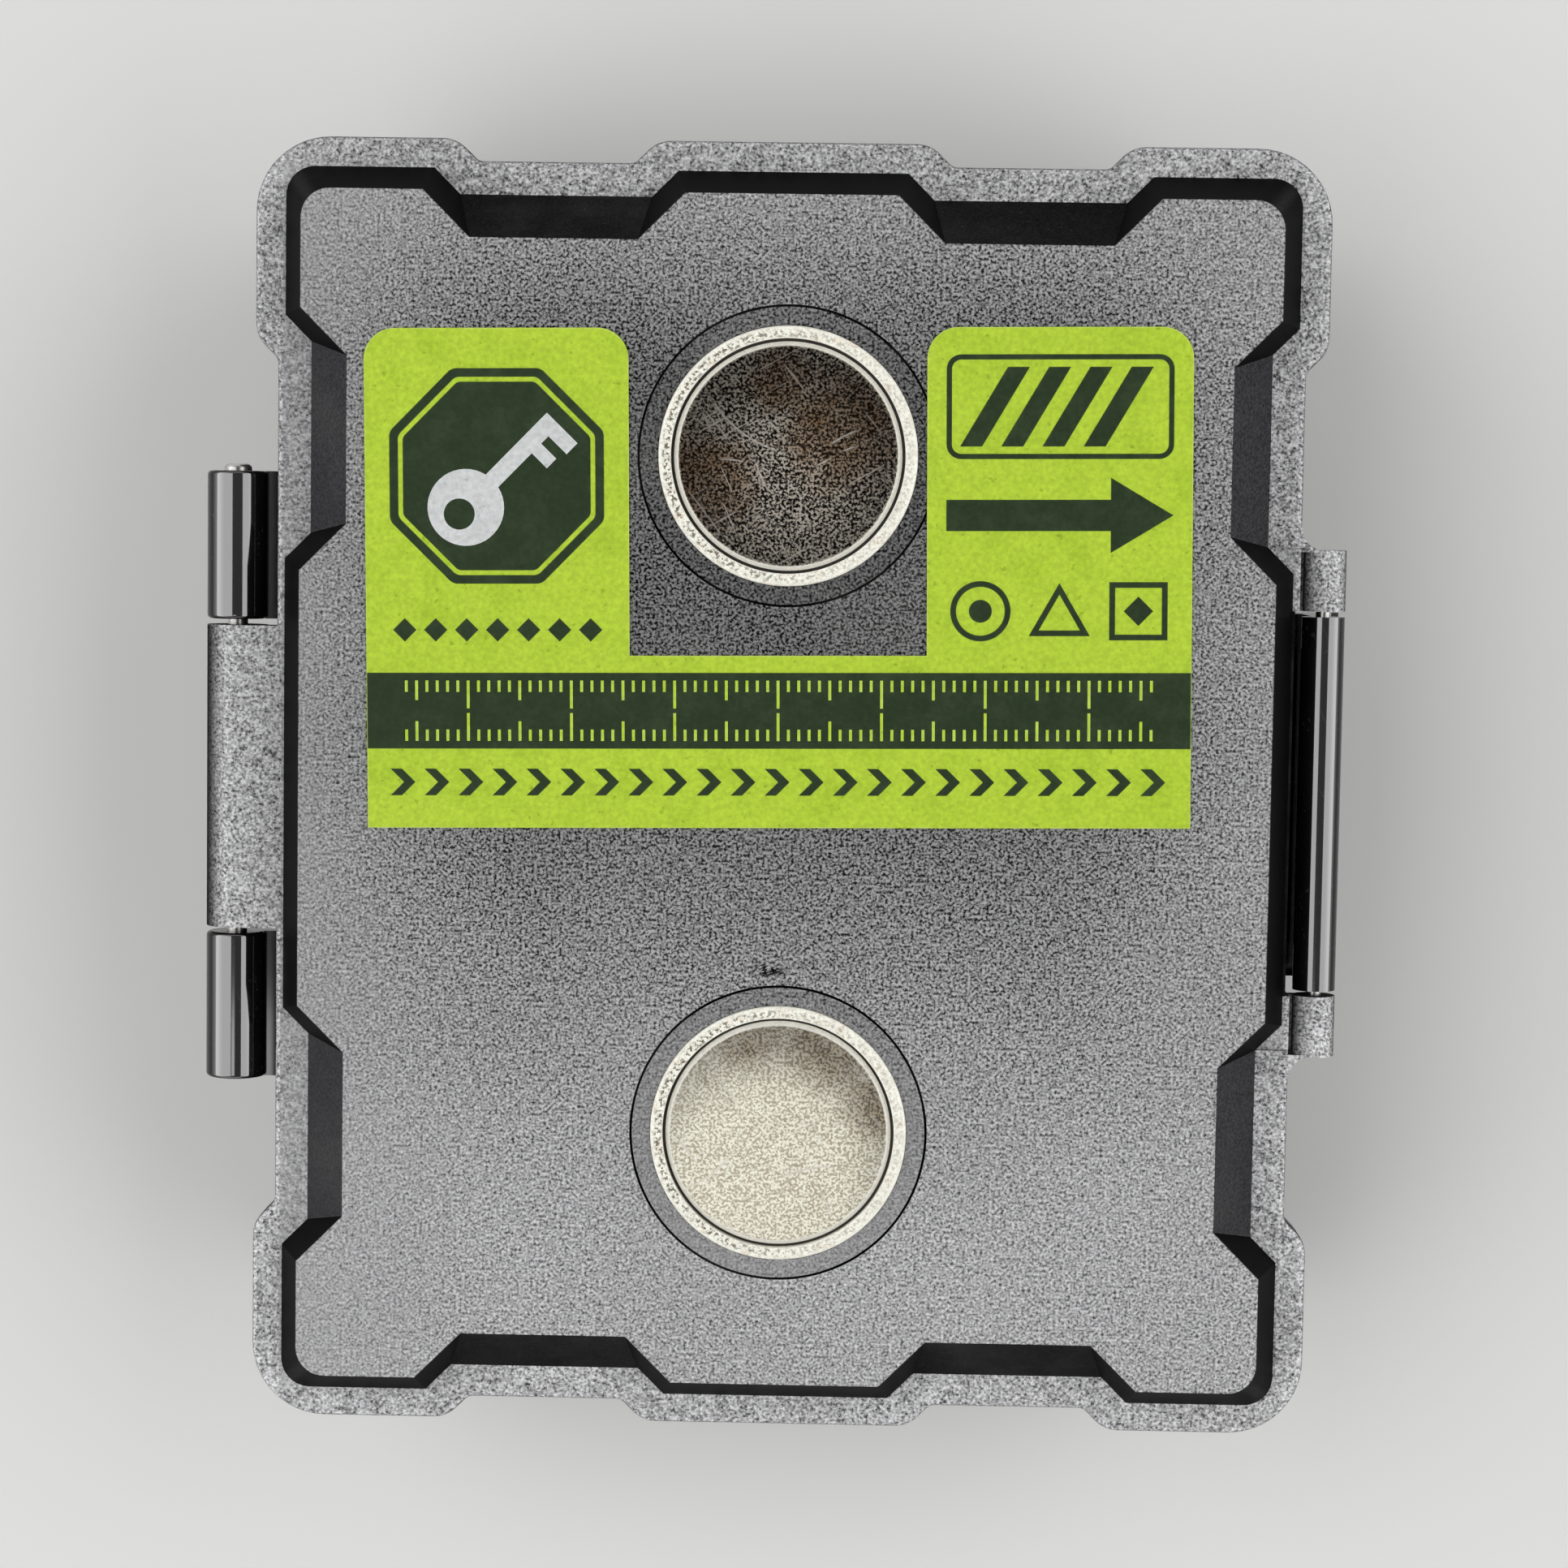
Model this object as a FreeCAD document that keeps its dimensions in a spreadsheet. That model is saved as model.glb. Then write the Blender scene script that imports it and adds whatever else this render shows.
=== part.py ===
import FreeCAD, Part
import math
import operator
import os

import Sketcher

# Flat rugged key box that clings to steel by two magnets in its lid.
# The tub lies on z = 0, the lid closes it from above and the magnets face up.
# The hinge runs along Y at the left side, the latch hangs at the right side.
# All sizes are in millimetres.

SIZES = [
    # Walls and flanges
    ("foot_width", 99.0, "outside of the long walls where they meet the flange"),
    ("foot_length", 121.0, "outside of the short walls where they meet the flange"),
    ("foot_corner", 3.2, "radius of the upright wall corners"),
    ("tub_height", 33.0, "rest face to parting plane"),
    ("lid_rise", 6.0, "magnet face above the flange"),
    ("flange_thick", 3.0, "thickness of each flange, and radius of the hinge barrel"),
    ("flange_reach_x", 2.95, "corner pads of the flange, out from the foot of the long walls"),
    ("flange_reach_y", 2.9, "corner pads of the flange, out from the foot of the short walls"),
    ("flange_corner", 7.3, "radius of the flange corners"),
    ("flange_notch", 2.2, "how far the flange steps in between its pads"),
    ("flange_notch_shift", 1.9, "flange steps inside the wall steps"),
    ("notch_crest", 3.2, "outer radius of a flange step"),
    ("notch_root", 1.2, "inner radius of a flange step"),
    ("rim_round", 0.5, "rounding of the flanges' outer edges"),
    ("parting_round", 0.3, "rounding of the edges at the parting line"),
    ("wall", 2.2, "wall thickness behind a notch"),
    ("floor_thick", 2.4, "bottom of the tub"),
    ("panel_thick", 2.2, "magnet face of the lid"),
    # Notches between the wall pads
    ("side_pad_half", 22.25, "half length of the middle pad on a long wall"),
    ("end_pad_half", 11.2, "half length of the middle pad on a short wall"),
    ("notch_span", 23.8, "length of a wall notch at its mouth"),
    ("notch_depth_foot", 2.55, "notch depth at the flange"),
    ("notch_depth_face", 4.55, "notch depth at the magnet face"),
    ("notch_depth_base", 2.9, "notch depth at the rest face"),
    ("flare_inner", 1.0, "notch widening at the magnet face, middle pad side"),
    ("flare_outer", 0.42, "notch widening at the magnet face, corner pad side"),
    ("face_inset_x", 2.35, "lean of the long lid walls"),
    ("face_inset_y", 2.6, "lean of the short lid walls"),
    ("base_inset", 1.6, "draft of the tub walls"),
    ("face_round", 0.25, "rounding of the magnet face's edge"),
    ("base_round", 1.4, "rounding of the tub's bottom edge"),
    # Hollows
    ("cavity_corner", 4.0, "radius of the inside corners"),
    ("lid_wall_min", 0.6, "least wall beside the lid's hollow at the magnet face"),
    ("groove_inset", 1.2, "tub hollow to gasket groove"),
    ("groove_width", 2.4, "gasket groove, across"),
    ("groove_depth", 1.8, "gasket groove, deep"),
    ("gasket_height", 1.0, "gasket, tall"),
    ("gasket_play", 0.1, "gasket to groove wall, each side"),
    ("tongue_width", 0.8, "sealing tongue of the lid, across"),
    ("tongue_height", 0.5, "sealing tongue of the lid, tall"),
    # Hinge
    ("hinge_offset", 5.1, "hinge axis outside the wall foot"),
    ("hinge_shift", 0.6, "middle of the hinge along Y"),
    ("hinge_middle", 30.0, "length of the lid's knuckle"),
    ("hinge_outer", 14.6, "length of each tub knuckle"),
    ("hinge_gap", 0.6, "gap between knuckles"),
    ("hinge_pin_width", 2.0, "hinge pin diameter"),
    ("hinge_head_width", 2.7, "hinge pin head diameter"),
    ("hinge_head_height", 0.7, "hinge pin head height"),
    ("hinge_head_dome", 0.5, "rounding of the hinge pin's head"),
    ("knuckle_round", 0.4, "rounding of the tub knuckles' ends"),
    ("pin_grip", 0.02, "pin to the bores that hold it, radial"),
    ("pin_play", 0.08, "pin to the bore that turns on it, radial"),
    # Latch
    ("latch_axis_out", 3.25, "latch axis outside the wall foot"),
    ("latch_axis_up", 1.2, "latch axis above the parting plane"),
    ("latch_shift", -0.4, "middle of the latch along Y"),
    ("latch_length", 36.9, "latch along its pin"),
    ("latch_barrel", 2.1, "radius of the latch barrel and of the ears"),
    ("latch_gap", 0.55, "gap between latch and ear"),
    ("latch_pin_width", 1.5, "latch pin diameter"),
    ("latch_inner", 0.9, "latch axis to the plate's inner face"),
    ("latch_outer", 1.1, "latch axis to the plate's outer face"),
    ("latch_drop", 16.6, "latch axis down to the thumb lip"),
    ("lip_reach", 2.6, "thumb lip out from the plate"),
    ("lip_thick", 1.6, "thumb lip thickness"),
    ("hook_drop", 10.0, "latch axis down to the top of the hook"),
    ("hook_reach", 1.9, "hook in from the plate"),
    ("hook_height", 2.6, "hook, tall"),
    ("hook_lip", 0.9, "upright front of the hook"),
    ("latch_play", 0.3, "hook to catch, when closed"),
    ("catch_reach", 1.9, "catch rib out from the wall foot"),
    ("catch_height", 2.4, "catch rib, tall"),
    ("catch_lip", 0.8, "upright front of the catch rib"),
    ("catch_length", 30.0, "catch rib along Y"),
    ("ear_length", 6.0, "each ear along Y"),
    ("ear_fillet", 2.2, "radius between an ear and the flange"),
    ("ear_lap", 0.2, "how far that fillet's web runs under the ear"),
    ("ear_web", 1.3, "thickness of the web below an ear"),
    ("ear_recess", 0.35, "step down of the flange beside an ear"),
    ("latch_land", 0.25, "flange left outside the wall foot behind the latch"),
    ("room_over", 1.0, "how far the latch's room is cut past the flange"),
    # Magnets
    ("magnet_end", 27.6, "magnet centre to the foot of the nearest short wall"),
    ("cup_width", 25.0, "outside of the steel cup"),
    ("cup_height", 7.0, "steel cup, tall"),
    ("cup_wall", 1.2, "steel cup's rim"),
    ("cup_floor", 1.6, "steel cup's floor"),
    ("cup_round", 0.3, "rounding of the cup's rim"),
    ("cup_play", 0.05, "cup to its well, radial"),
    ("magnet_proud", 0.3, "cup above the magnet face"),
    ("disc_gap", 0.3, "magnet disc to cup, radial"),
    ("disc_chamfer", 0.6, "bevel of the disc's edge"),
    ("resin_low", 0.3, "resin ring below the rim"),
    ("resin_play", 0.01, "resin ring to its neighbours"),
    ("well_floor", 2.0, "plastic under a cup"),
    ("boss_wall", 1.6, "plastic round a cup"),
    ("witness_gap", 1.9, "cup to the fine ring cut round it"),
    ("witness_width", 0.16, "fine ring, wide"),
    ("witness_depth", 0.2, "fine ring, deep"),
    # Magnet screws
    ("screw_width", 4.0, "screw thread diameter"),
    ("screw_play", 0.05, "screw to the cup's thread, radial"),
    ("screw_hole_play", 0.2, "screw to the lid's hole, radial"),
    ("screw_head_width", 7.2, "screw head diameter"),
    ("screw_head_height", 2.2, "screw head height"),
    ("screw_end", 0.2, "screw end to the magnet disc"),
    ("recess_length", 4.0, "cross recess of the screw, long"),
    ("recess_width", 0.9, "cross recess of the screw, wide"),
    ("recess_depth", 1.2, "cross recess of the screw, deep"),
    ("washer_width", 10.0, "sealing washer diameter"),
    ("washer_thick", 0.8, "sealing washer thickness"),
    # Dividers
    ("divider_thick", 1.6, "divider plate"),
    ("divider_top", 29.0, "top of the dividers above the rest face"),
    ("divider_pitch", 37.0, "between the two cross dividers"),
    ("divider_play", 0.15, "divider to slot or rib, each side"),
    ("divider_end", 0.3, "divider end to wall"),
    ("rib_width", 1.2, "holding rib, wide"),
    ("rib_reach", 1.4, "holding rib out from the wall at the floor"),
    ("rib_skin", 0.3, "wall left outside a rib's root"),
    # Label
    ("label_margin", 2.75, "label's side to the notches of the magnet face"),
    ("label_over", 12.3, "label's top edge past the centre of the upper magnet"),
    ("label_clear_side", 1.85, "cup to the label's tabs"),
    ("label_clear_below", 6.7, "cup to the label's cut-out below it"),
    ("label_corner", 3.0, "radius of the tabs' corners"),
    ("label_thick", 0.15, "label film"),
    ("label_x", -0.42, "middle of the label's lower edge"),
    ("label_y", -3.0, "middle of the label's lower edge"),
    ("label_tilt", 0.9, "turn of the label, in degrees"),
]

# Formulas that several pieces share
HALF_WIDTH = "dims.foot_width / 2"
PARTING = "dims.tub_height"
TUB_FLANGE = "dims.tub_height - dims.flange_thick"
LID_FACE = "dims.flange_thick + dims.lid_rise"
HINGE_X = "-(dims.foot_width / 2 + dims.hinge_offset)"
LATCH_X = "dims.foot_width / 2 + dims.latch_axis_out"
FLANGE_X = "dims.foot_width / 2 + dims.flange_reach_x"
FLANGE_Y = "dims.foot_length / 2 + dims.flange_reach_y"
FLANGE_STEP_X = FLANGE_X + " - dims.flange_notch"
HOLLOW_TOP_X = "dims.foot_width / 2 - dims.notch_depth_foot - dims.wall"
HOLLOW_TOP_Y = "dims.foot_length / 2 - dims.notch_depth_foot - dims.wall"
SKIN_BASE_X = "dims.foot_width / 2 - dims.base_inset - dims.notch_depth_base"
SKIN_BASE_Y = "dims.foot_length / 2 - dims.base_inset - dims.notch_depth_base"
HOLLOW_BASE_X = SKIN_BASE_X + " - dims.wall"
HOLLOW_BASE_Y = SKIN_BASE_Y + " - dims.wall"
GROOVE_X = HOLLOW_TOP_X + " + dims.groove_inset"
GROOVE_Y = HOLLOW_TOP_Y + " + dims.groove_inset"
GROOVE_CORNER = "dims.cavity_corner + dims.groove_inset"
MAGNET_Y = "dims.foot_length / 2 - dims.magnet_end"
CUP_RADIUS = "dims.cup_width / 2"
CUP_BORE = "dims.cup_width / 2 - dims.cup_wall"
DISC_RADIUS = "dims.cup_width / 2 - dims.cup_wall - dims.disc_gap"
WELL_FLOOR = "dims.flange_thick + dims.lid_rise + dims.magnet_proud - dims.cup_height"
BOSS_LOW = WELL_FLOOR + " - dims.well_floor"
LATCH_CLEAR = "dims.latch_length / 2 + dims.latch_gap"
EAR_END = LATCH_CLEAR + " + dims.ear_length"
LABEL_HALF = "dims.foot_width / 2 - dims.face_inset_x - dims.notch_depth_face - dims.label_margin"
MAGNET_ENDS = (("upper", ""), ("lower", "-"))

# Two lengths that differ by less count as the same
SMALL = 0.02

# Rough sizes at which an outline is drawn, before its formulas place it
DRAFT_RING = 50.0
DRAFT_CIRCLE = 3.0
DRAFT_HALF_X = 40.0
DRAFT_HALF_Y = 50.0
DRAFT_BEND = 5.0

doc = FreeCAD.newDocument("magnetic_key_box")
sheet = doc.addObject("Spreadsheet::Sheet", "dims")
for row, (size_name, size, note) in enumerate(SIZES, start=1):
    sheet.set(f"A{row}", size_name)
    sheet.set(f"B{row}", str(size))
    sheet.set(f"C{row}", note)
    sheet.setAlias(f"B{row}", size_name)
doc.recompute()


def value(name):
    """The number in one named cell of the sheet."""
    return float(sheet.get(name))


def new_body(label, x="0", y="0", z="0", start=None):
    """A body whose place is given by a formula for each axis, and which may start from a solid."""
    body = doc.addObject("PartDesign::Body", label)
    body.Label = label
    if start is not None:
        body.BaseFeature = start
    body.setExpression("Placement.Base.x", x)
    body.setExpression("Placement.Base.y", y)
    body.setExpression("Placement.Base.z", z)
    return body


def new_sketch(body, name, plane="XY_Plane", offset="0"):
    """A sketch on one of the body's own planes, moved along its normal by a formula."""
    sketch = body.newObject("Sketcher::SketchObject", name)
    for feature in body.Origin.OriginFeatures:
        if feature.Role == plane:
            sketch.AttachmentSupport = (feature, [""])
    sketch.MapMode = "FlatFace"
    sketch.setExpression("AttachmentOffset.Base.z", offset)
    return sketch


def hold(sketch, geometry, point, x, y):
    """Binds one point of a sketch to a formula for x and one for y."""
    place = sketch.getPoint(geometry, point)
    for kind, start, formula in (("DistanceX", place.x, x), ("DistanceY", place.y, y)):
        number = sketch.addConstraint(Sketcher.Constraint(kind, -1, 1, geometry, point, start))
        sketch.setExpression(f"Constraints[{number}]", formula)


def polygon(sketch, corners):
    """Draws a closed outline through corners, each a pair of formulas."""
    first = sketch.GeometryCount
    count = len(corners)
    turns = [math.tau * step / count for step in range(count)]
    ring = [FreeCAD.Vector(DRAFT_RING * math.cos(turn), DRAFT_RING * math.sin(turn), 0) for turn in turns]
    for step in range(count):
        sketch.addGeometry(Part.LineSegment(ring[step], ring[(step + 1) % count]), False)
    for step in range(count):
        following = first + (step + 1) % count
        sketch.addConstraint(Sketcher.Constraint("Coincident", first + step, 2, following, 1))
    for step, (x, y) in enumerate(corners):
        hold(sketch, first + step, 1, x, y)


def rectangle(sketch, x_low, x_high, y_low, y_high):
    """Draws a rectangle between four formulas."""
    polygon(sketch, [(x_low, y_low), (x_high, y_low), (x_high, y_high), (x_low, y_high)])


def circle(sketch, x, y, radius):
    """Draws a circle from formulas for its centre and radius."""
    draft_centre = FreeCAD.Vector(DRAFT_CIRCLE, DRAFT_CIRCLE, 0)
    draft = Part.Circle(draft_centre, FreeCAD.Vector(0, 0, 1), DRAFT_CIRCLE)
    number = sketch.addGeometry(draft, False)
    hold(sketch, number, 3, x, y)
    bound = sketch.addConstraint(Sketcher.Constraint("Radius", number, DRAFT_CIRCLE))
    sketch.setExpression(f"Constraints[{bound}]", radius)
    return sketch


def rounded_rectangle(sketch, half_x, half_y, radius):
    """Draws a centred rectangle with round corners."""
    first = sketch.GeometryCount
    far_x = DRAFT_HALF_X
    far_y = DRAFT_HALF_Y
    bend = DRAFT_BEND
    up = FreeCAD.Vector(0, 0, 1)
    turns = ((1, 1), (-1, 1), (-1, -1), (1, -1))
    for turn, (side_x, side_y) in enumerate(turns):
        centre = FreeCAD.Vector(side_x * (far_x - bend), side_y * (far_y - bend), 0)
        start = turn * math.pi / 2
        arc = Part.ArcOfCircle(Part.Circle(centre, up, bend), start, start + math.pi / 2)
        sketch.addGeometry(arc, False)
    edges = (
        ((far_x - bend, far_y), (bend - far_x, far_y)),
        ((-far_x, far_y - bend), (-far_x, bend - far_y)),
        ((bend - far_x, -far_y), (far_x - bend, -far_y)),
        ((far_x, bend - far_y), (far_x, far_y - bend)),
    )
    for begin, end in edges:
        line = Part.LineSegment(FreeCAD.Vector(*begin, 0), FreeCAD.Vector(*end, 0))
        sketch.addGeometry(line, False)
    for turn in range(4):
        line = first + 4 + turn
        after = first + (turn + 1) % 4
        sketch.addConstraint(Sketcher.Constraint("Tangent", first + turn, 2, line, 1))
        sketch.addConstraint(Sketcher.Constraint("Tangent", line, 2, after, 1))
        direction = "Horizontal" if turn % 2 == 0 else "Vertical"
        sketch.addConstraint(Sketcher.Constraint(direction, line))
        bound = sketch.addConstraint(Sketcher.Constraint("Radius", first + turn, bend))
        sketch.setExpression(f"Constraints[{bound}]", radius)
    reaches = (
        ("DistanceY", 4, far_y, f"({half_y})"),
        ("DistanceX", 5, -far_x, f"-({half_x})"),
        ("DistanceY", 6, -far_y, f"-({half_y})"),
        ("DistanceX", 7, far_x, f"({half_x})"),
    )
    for kind, number, start, formula in reaches:
        bound = sketch.addConstraint(Sketcher.Constraint(kind, -1, 1, first + number, 1, start))
        sketch.setExpression(f"Constraints[{bound}]", formula)


def extrude(body, kind, sketch, length, reverse=False):
    """A pad along the sketch's normal, or a pocket against it."""
    feature = body.newObject("PartDesign::" + kind, sketch.Label + "_" + kind.lower())
    feature.Profile = sketch
    feature.Reversed = reverse
    feature.setExpression("Length", length)


def hollow_between(body, first, second):
    """Cuts a straight-sided hollow between two outlines."""
    feature = body.newObject("PartDesign::SubtractiveLoft", first.Label + "_loft")
    feature.Profile = first
    feature.Sections = [second]
    feature.Ruled = True


def dress(body, kind, name, formula, wanted):
    """Rounds or bevels the edges of the body's latest shape that a test accepts."""
    doc.recompute()
    base = body.Tip
    edges = base.Shape.Edges
    chosen = [f"Edge{number}" for number, edge in enumerate(edges, start=1) if wanted(edge)]
    feature = body.newObject("PartDesign::" + kind, name)
    feature.Base = (base, chosen)
    feature.setExpression("Radius" if kind == "Fillet" else "Size", formula)


def near(first, second):
    """True where two lengths agree."""
    return abs(first - second) < SMALL


def at_height(edge, height):
    """True for an edge that lies wholly at one height."""
    box = edge.BoundBox
    return near(box.ZMin, height) and near(box.ZMax, height)


def upright(edge, low, high):
    """True for an edge that rises from one height to another."""
    box = edge.BoundBox
    return near(box.ZMin, low) and near(box.ZMax, high)


def middle_reach(edge):
    """How far the middle of an edge lies from the centre, along X and along Y."""
    centre = edge.BoundBox.Center
    return abs(centre.x), abs(centre.y)


def all_round(quarter, opposite):
    """Repeats a quarter outline, given from the X axis to the Y axis, all the way round."""
    second = [(opposite(x), y) for x, y in reversed(quarter)]
    third = [(opposite(x), opposite(y)) for x, y in quarter]
    fourth = [(x, opposite(y)) for x, y in reversed(quarter)]
    return quarter + second + third + fourth


def wall_outline(inset_x, inset_y, depth, flare_inner, flare_outer):
    """Outside of the walls at one height, with two notches on every side."""
    x = value("foot_width") / 2 - inset_x
    y = value("foot_length") / 2 - inset_y
    side_start = value("side_pad_half") - flare_inner
    side_stop = value("side_pad_half") + value("notch_span") + flare_outer
    end_start = value("end_pad_half") - flare_inner
    end_stop = value("end_pad_half") + value("notch_span") + flare_outer
    quarter = [
        (x, side_start),
        (x - depth, side_start + depth),
        (x - depth, side_stop - depth),
        (x, side_stop),
        (x, y),
        (end_stop, y),
        (end_stop - depth, y - depth),
        (end_start + depth, y - depth),
        (end_start, y),
    ]
    return all_round(quarter, operator.neg)


def leaning_walls(label, low, low_outline, high, high_outline):
    """A solid block with flat leaning sides between two outlines, which a loft would leave curved."""
    floor_ring = [FreeCAD.Vector(x, y, low) for x, y in low_outline]
    top_ring = [FreeCAD.Vector(x, y, high) for x, y in high_outline]
    floor_face = Part.Face(Part.makePolygon(floor_ring + floor_ring[:1]))
    floor_face.reverse()
    faces = [floor_face, Part.Face(Part.makePolygon(top_ring + top_ring[:1]))]
    count = len(floor_ring)
    for step in range(count):
        after = (step + 1) % count
        corners = [floor_ring[step], floor_ring[after], top_ring[after], top_ring[step], floor_ring[step]]
        faces.append(Part.Face(Part.makePolygon(corners)))
    shell = Part.makeShell(faces)
    shell.sewShape()
    feature = doc.addObject("Part::Feature", label)
    feature.Shape = Part.makeSolid(shell)
    return feature


def flange_outline():
    """Outside of a flange: pads at the corners and in the middle of the short sides."""
    step = "dims.flange_notch"
    shift = "dims.notch_depth_foot / 2 + dims.flange_notch_shift"
    side = f"dims.side_pad_half + dims.notch_span - ({shift})"
    far = f"dims.end_pad_half + dims.notch_span - ({shift})"
    close = f"dims.end_pad_half + {shift}"
    quarter = [
        (FLANGE_STEP_X, f"{side} - {step} / 2"),
        (FLANGE_X, f"{side} + {step} / 2"),
        (FLANGE_X, FLANGE_Y),
        (f"{far} + {step} / 2", FLANGE_Y),
        (f"{far} - {step} / 2", f"{FLANGE_Y} - {step}"),
        (f"{close} + {step} / 2", f"{FLANGE_Y} - {step}"),
        (f"{close} - {step} / 2", FLANGE_Y),
    ]
    return all_round(quarter, lambda formula: f"-({formula})")


def flange(body, low_formula):
    """Pads a flange and rounds its upright corners and steps."""
    sketch = new_sketch(body, "flange_outline", "XY_Plane", low_formula)
    polygon(sketch, flange_outline())
    extrude(body, "Pad", sketch, "dims.flange_thick")
    doc.recompute()
    low = sketch.Placement.Base.z
    high = low + value("flange_thick")
    far_x = value("foot_width") / 2 + value("flange_reach_x")
    far_y = value("foot_length") / 2 + value("flange_reach_y")
    step = value("flange_notch")

    def crest(edge):
        x, y = middle_reach(edge)
        return upright(edge, low, high) and near(x, far_x) != near(y, far_y)

    def root(edge):
        x, y = middle_reach(edge)
        return upright(edge, low, high) and (near(x, far_x - step) or near(y, far_y - step))

    def corner(edge):
        x, y = middle_reach(edge)
        return upright(edge, low, high) and near(x, far_x) and near(y, far_y)

    dress(body, "Fillet", "flange_step_crests", "dims.notch_crest", crest)
    dress(body, "Fillet", "flange_step_roots", "dims.notch_root", root)
    dress(body, "Fillet", "flange_corners", "dims.flange_corner", corner)


def outside_foot(edge):
    """True for an edge that lies outside the foot of the walls."""
    x, y = middle_reach(edge)
    return x > value("foot_width") / 2 + SMALL or y > value("foot_length") / 2 + SMALL


def wall_corner(edge):
    """True for the four leaning edges at the corners of the walls."""
    box = edge.BoundBox
    lean = max(value("face_inset_x"), value("face_inset_y"), value("base_inset")) + SMALL
    x, y = middle_reach(edge)
    tall = box.ZMax - box.ZMin > value("flange_thick")
    return tall and x > value("foot_width") / 2 - lean and y > value("foot_length") / 2 - lean


def ring_sketch(body, name, offset, half_x, half_y, corner, width):
    """A frame of even width between two rounded rectangles."""
    sketch = new_sketch(body, name, "XY_Plane", offset)
    rounded_rectangle(sketch, half_x, half_y, corner)
    rounded_rectangle(sketch, f"{half_x} + {width}", f"{half_y} + {width}", f"{corner} + {width}")
    return sketch


def knuckle_barrel(body, name, x, z, radius, y_high, length):
    """Pads a round barrel along Y, up to one formula and of one length."""
    sketch = new_sketch(body, name, "XZ_Plane", f"-({y_high})")
    circle(sketch, x, z, radius)
    extrude(body, "Pad", sketch, length)


def bore_along(body, name, x, z, radius, y_low, length):
    """Cuts a round bore along Y from one formula on."""
    sketch = new_sketch(body, name, "XZ_Plane", f"-({y_low})")
    circle(sketch, x, z, radius)
    extrude(body, "Pocket", sketch, length)


def block(body, kind, name, x_low, x_high, y_low, y_high, z_low, height):
    """Adds or cuts a straight block that rises from one height."""
    sketch = new_sketch(body, name, "XY_Plane", z_low)
    rectangle(sketch, x_low, x_high, y_low, y_high)
    extrude(body, kind, sketch, height, reverse=(kind == "Pocket"))


def latch_room(body, z_low):
    """Cuts the flange back to the wall's foot where the latch hangs."""
    block(
        body, "Pocket", "latch_room",
        "dims.foot_width / 2 + dims.latch_land", f"{FLANGE_X} + dims.room_over",
        f"dims.latch_shift - ({LATCH_CLEAR})", f"dims.latch_shift + {LATCH_CLEAR}",
        z_low, "dims.flange_thick",
    )


def make_tub():
    """The deep shell: walls with pads, flange, hinge knuckles, catch, groove and ribs."""
    low = value("tub_height") - value("flange_thick")
    inset = value("base_inset")
    walls = leaning_walls(
        "tub_walls",
        0, wall_outline(inset, inset, value("notch_depth_base"), 0, 0),
        low, wall_outline(0, 0, value("notch_depth_foot"), 0, 0),
    )
    body = new_body("tub_shell", start=walls)
    dress(body, "Fillet", "wall_corners", "dims.foot_corner", wall_corner)
    dress(body, "Fillet", "bottom_edge", "dims.base_round", lambda edge: at_height(edge, 0))
    flange(body, TUB_FLANGE)
    dress(
        body, "Fillet", "rim_underside", "dims.rim_round",
        lambda edge: at_height(edge, low) and outside_foot(edge),
    )
    dress(
        body, "Fillet", "rim_parting_edge", "dims.parting_round",
        lambda edge: at_height(edge, value("tub_height")),
    )
    tub_knuckles(body)
    tub_catch(body)
    latch_room(body, TUB_FLANGE)
    hollow_low = new_sketch(body, "hollow_floor", "XY_Plane", "dims.floor_thick")
    rounded_rectangle(hollow_low, HOLLOW_BASE_X, HOLLOW_BASE_Y, "dims.cavity_corner")
    hollow_high = new_sketch(body, "hollow_mouth", "XY_Plane", PARTING)
    rounded_rectangle(hollow_high, HOLLOW_TOP_X, HOLLOW_TOP_Y, "dims.cavity_corner")
    hollow_between(body, hollow_low, hollow_high)
    groove = ring_sketch(
        body, "gasket_groove", PARTING, GROOVE_X, GROOVE_Y, GROOVE_CORNER, "dims.groove_width",
    )
    extrude(body, "Pocket", groove, "dims.groove_depth")
    tub_ribs(body)
    return body


def tub_knuckles(body):
    """The two outer barrels of the hinge, each on a web from the tub's flange."""
    upper_high = "dims.hinge_shift + dims.hinge_middle / 2 + dims.hinge_gap + dims.hinge_outer"
    lower_high = "dims.hinge_shift - dims.hinge_middle / 2 - dims.hinge_gap"
    for side, y_high in (("upper", upper_high), ("lower", lower_high)):
        knuckle_barrel(
            body, f"{side}_knuckle", HINGE_X, PARTING, "dims.flange_thick", y_high, "dims.hinge_outer",
        )
    dress(body, "Fillet", "knuckle_ends", "dims.knuckle_round", tub_knuckle_end)
    for side, y_high in (("upper", upper_high), ("lower", lower_high)):
        block(
            body, "Pad", f"{side}_web",
            HINGE_X, f"-({FLANGE_STEP_X} - dims.wall)",
            f"{y_high} - dims.hinge_outer", y_high,
            TUB_FLANGE, "dims.flange_thick",
        )
    hinge_low = "dims.hinge_shift - dims.hinge_middle / 2 - dims.hinge_gap - dims.hinge_outer"
    hinge_span = "dims.hinge_middle + 2 * dims.hinge_gap + 2 * dims.hinge_outer"
    bore_along(
        body, "hinge_bore", HINGE_X, PARTING, "dims.hinge_pin_width / 2 + dims.pin_grip",
        hinge_low, hinge_span,
    )


def tub_knuckle_end(edge):
    """True for the round end edges of the hinge barrels."""
    if not isinstance(edge.Curve, Part.Circle):
        return False
    across = near(abs(edge.Curve.Axis.y), 1)
    return across and near(edge.Curve.Radius, value("flange_thick"))


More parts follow.
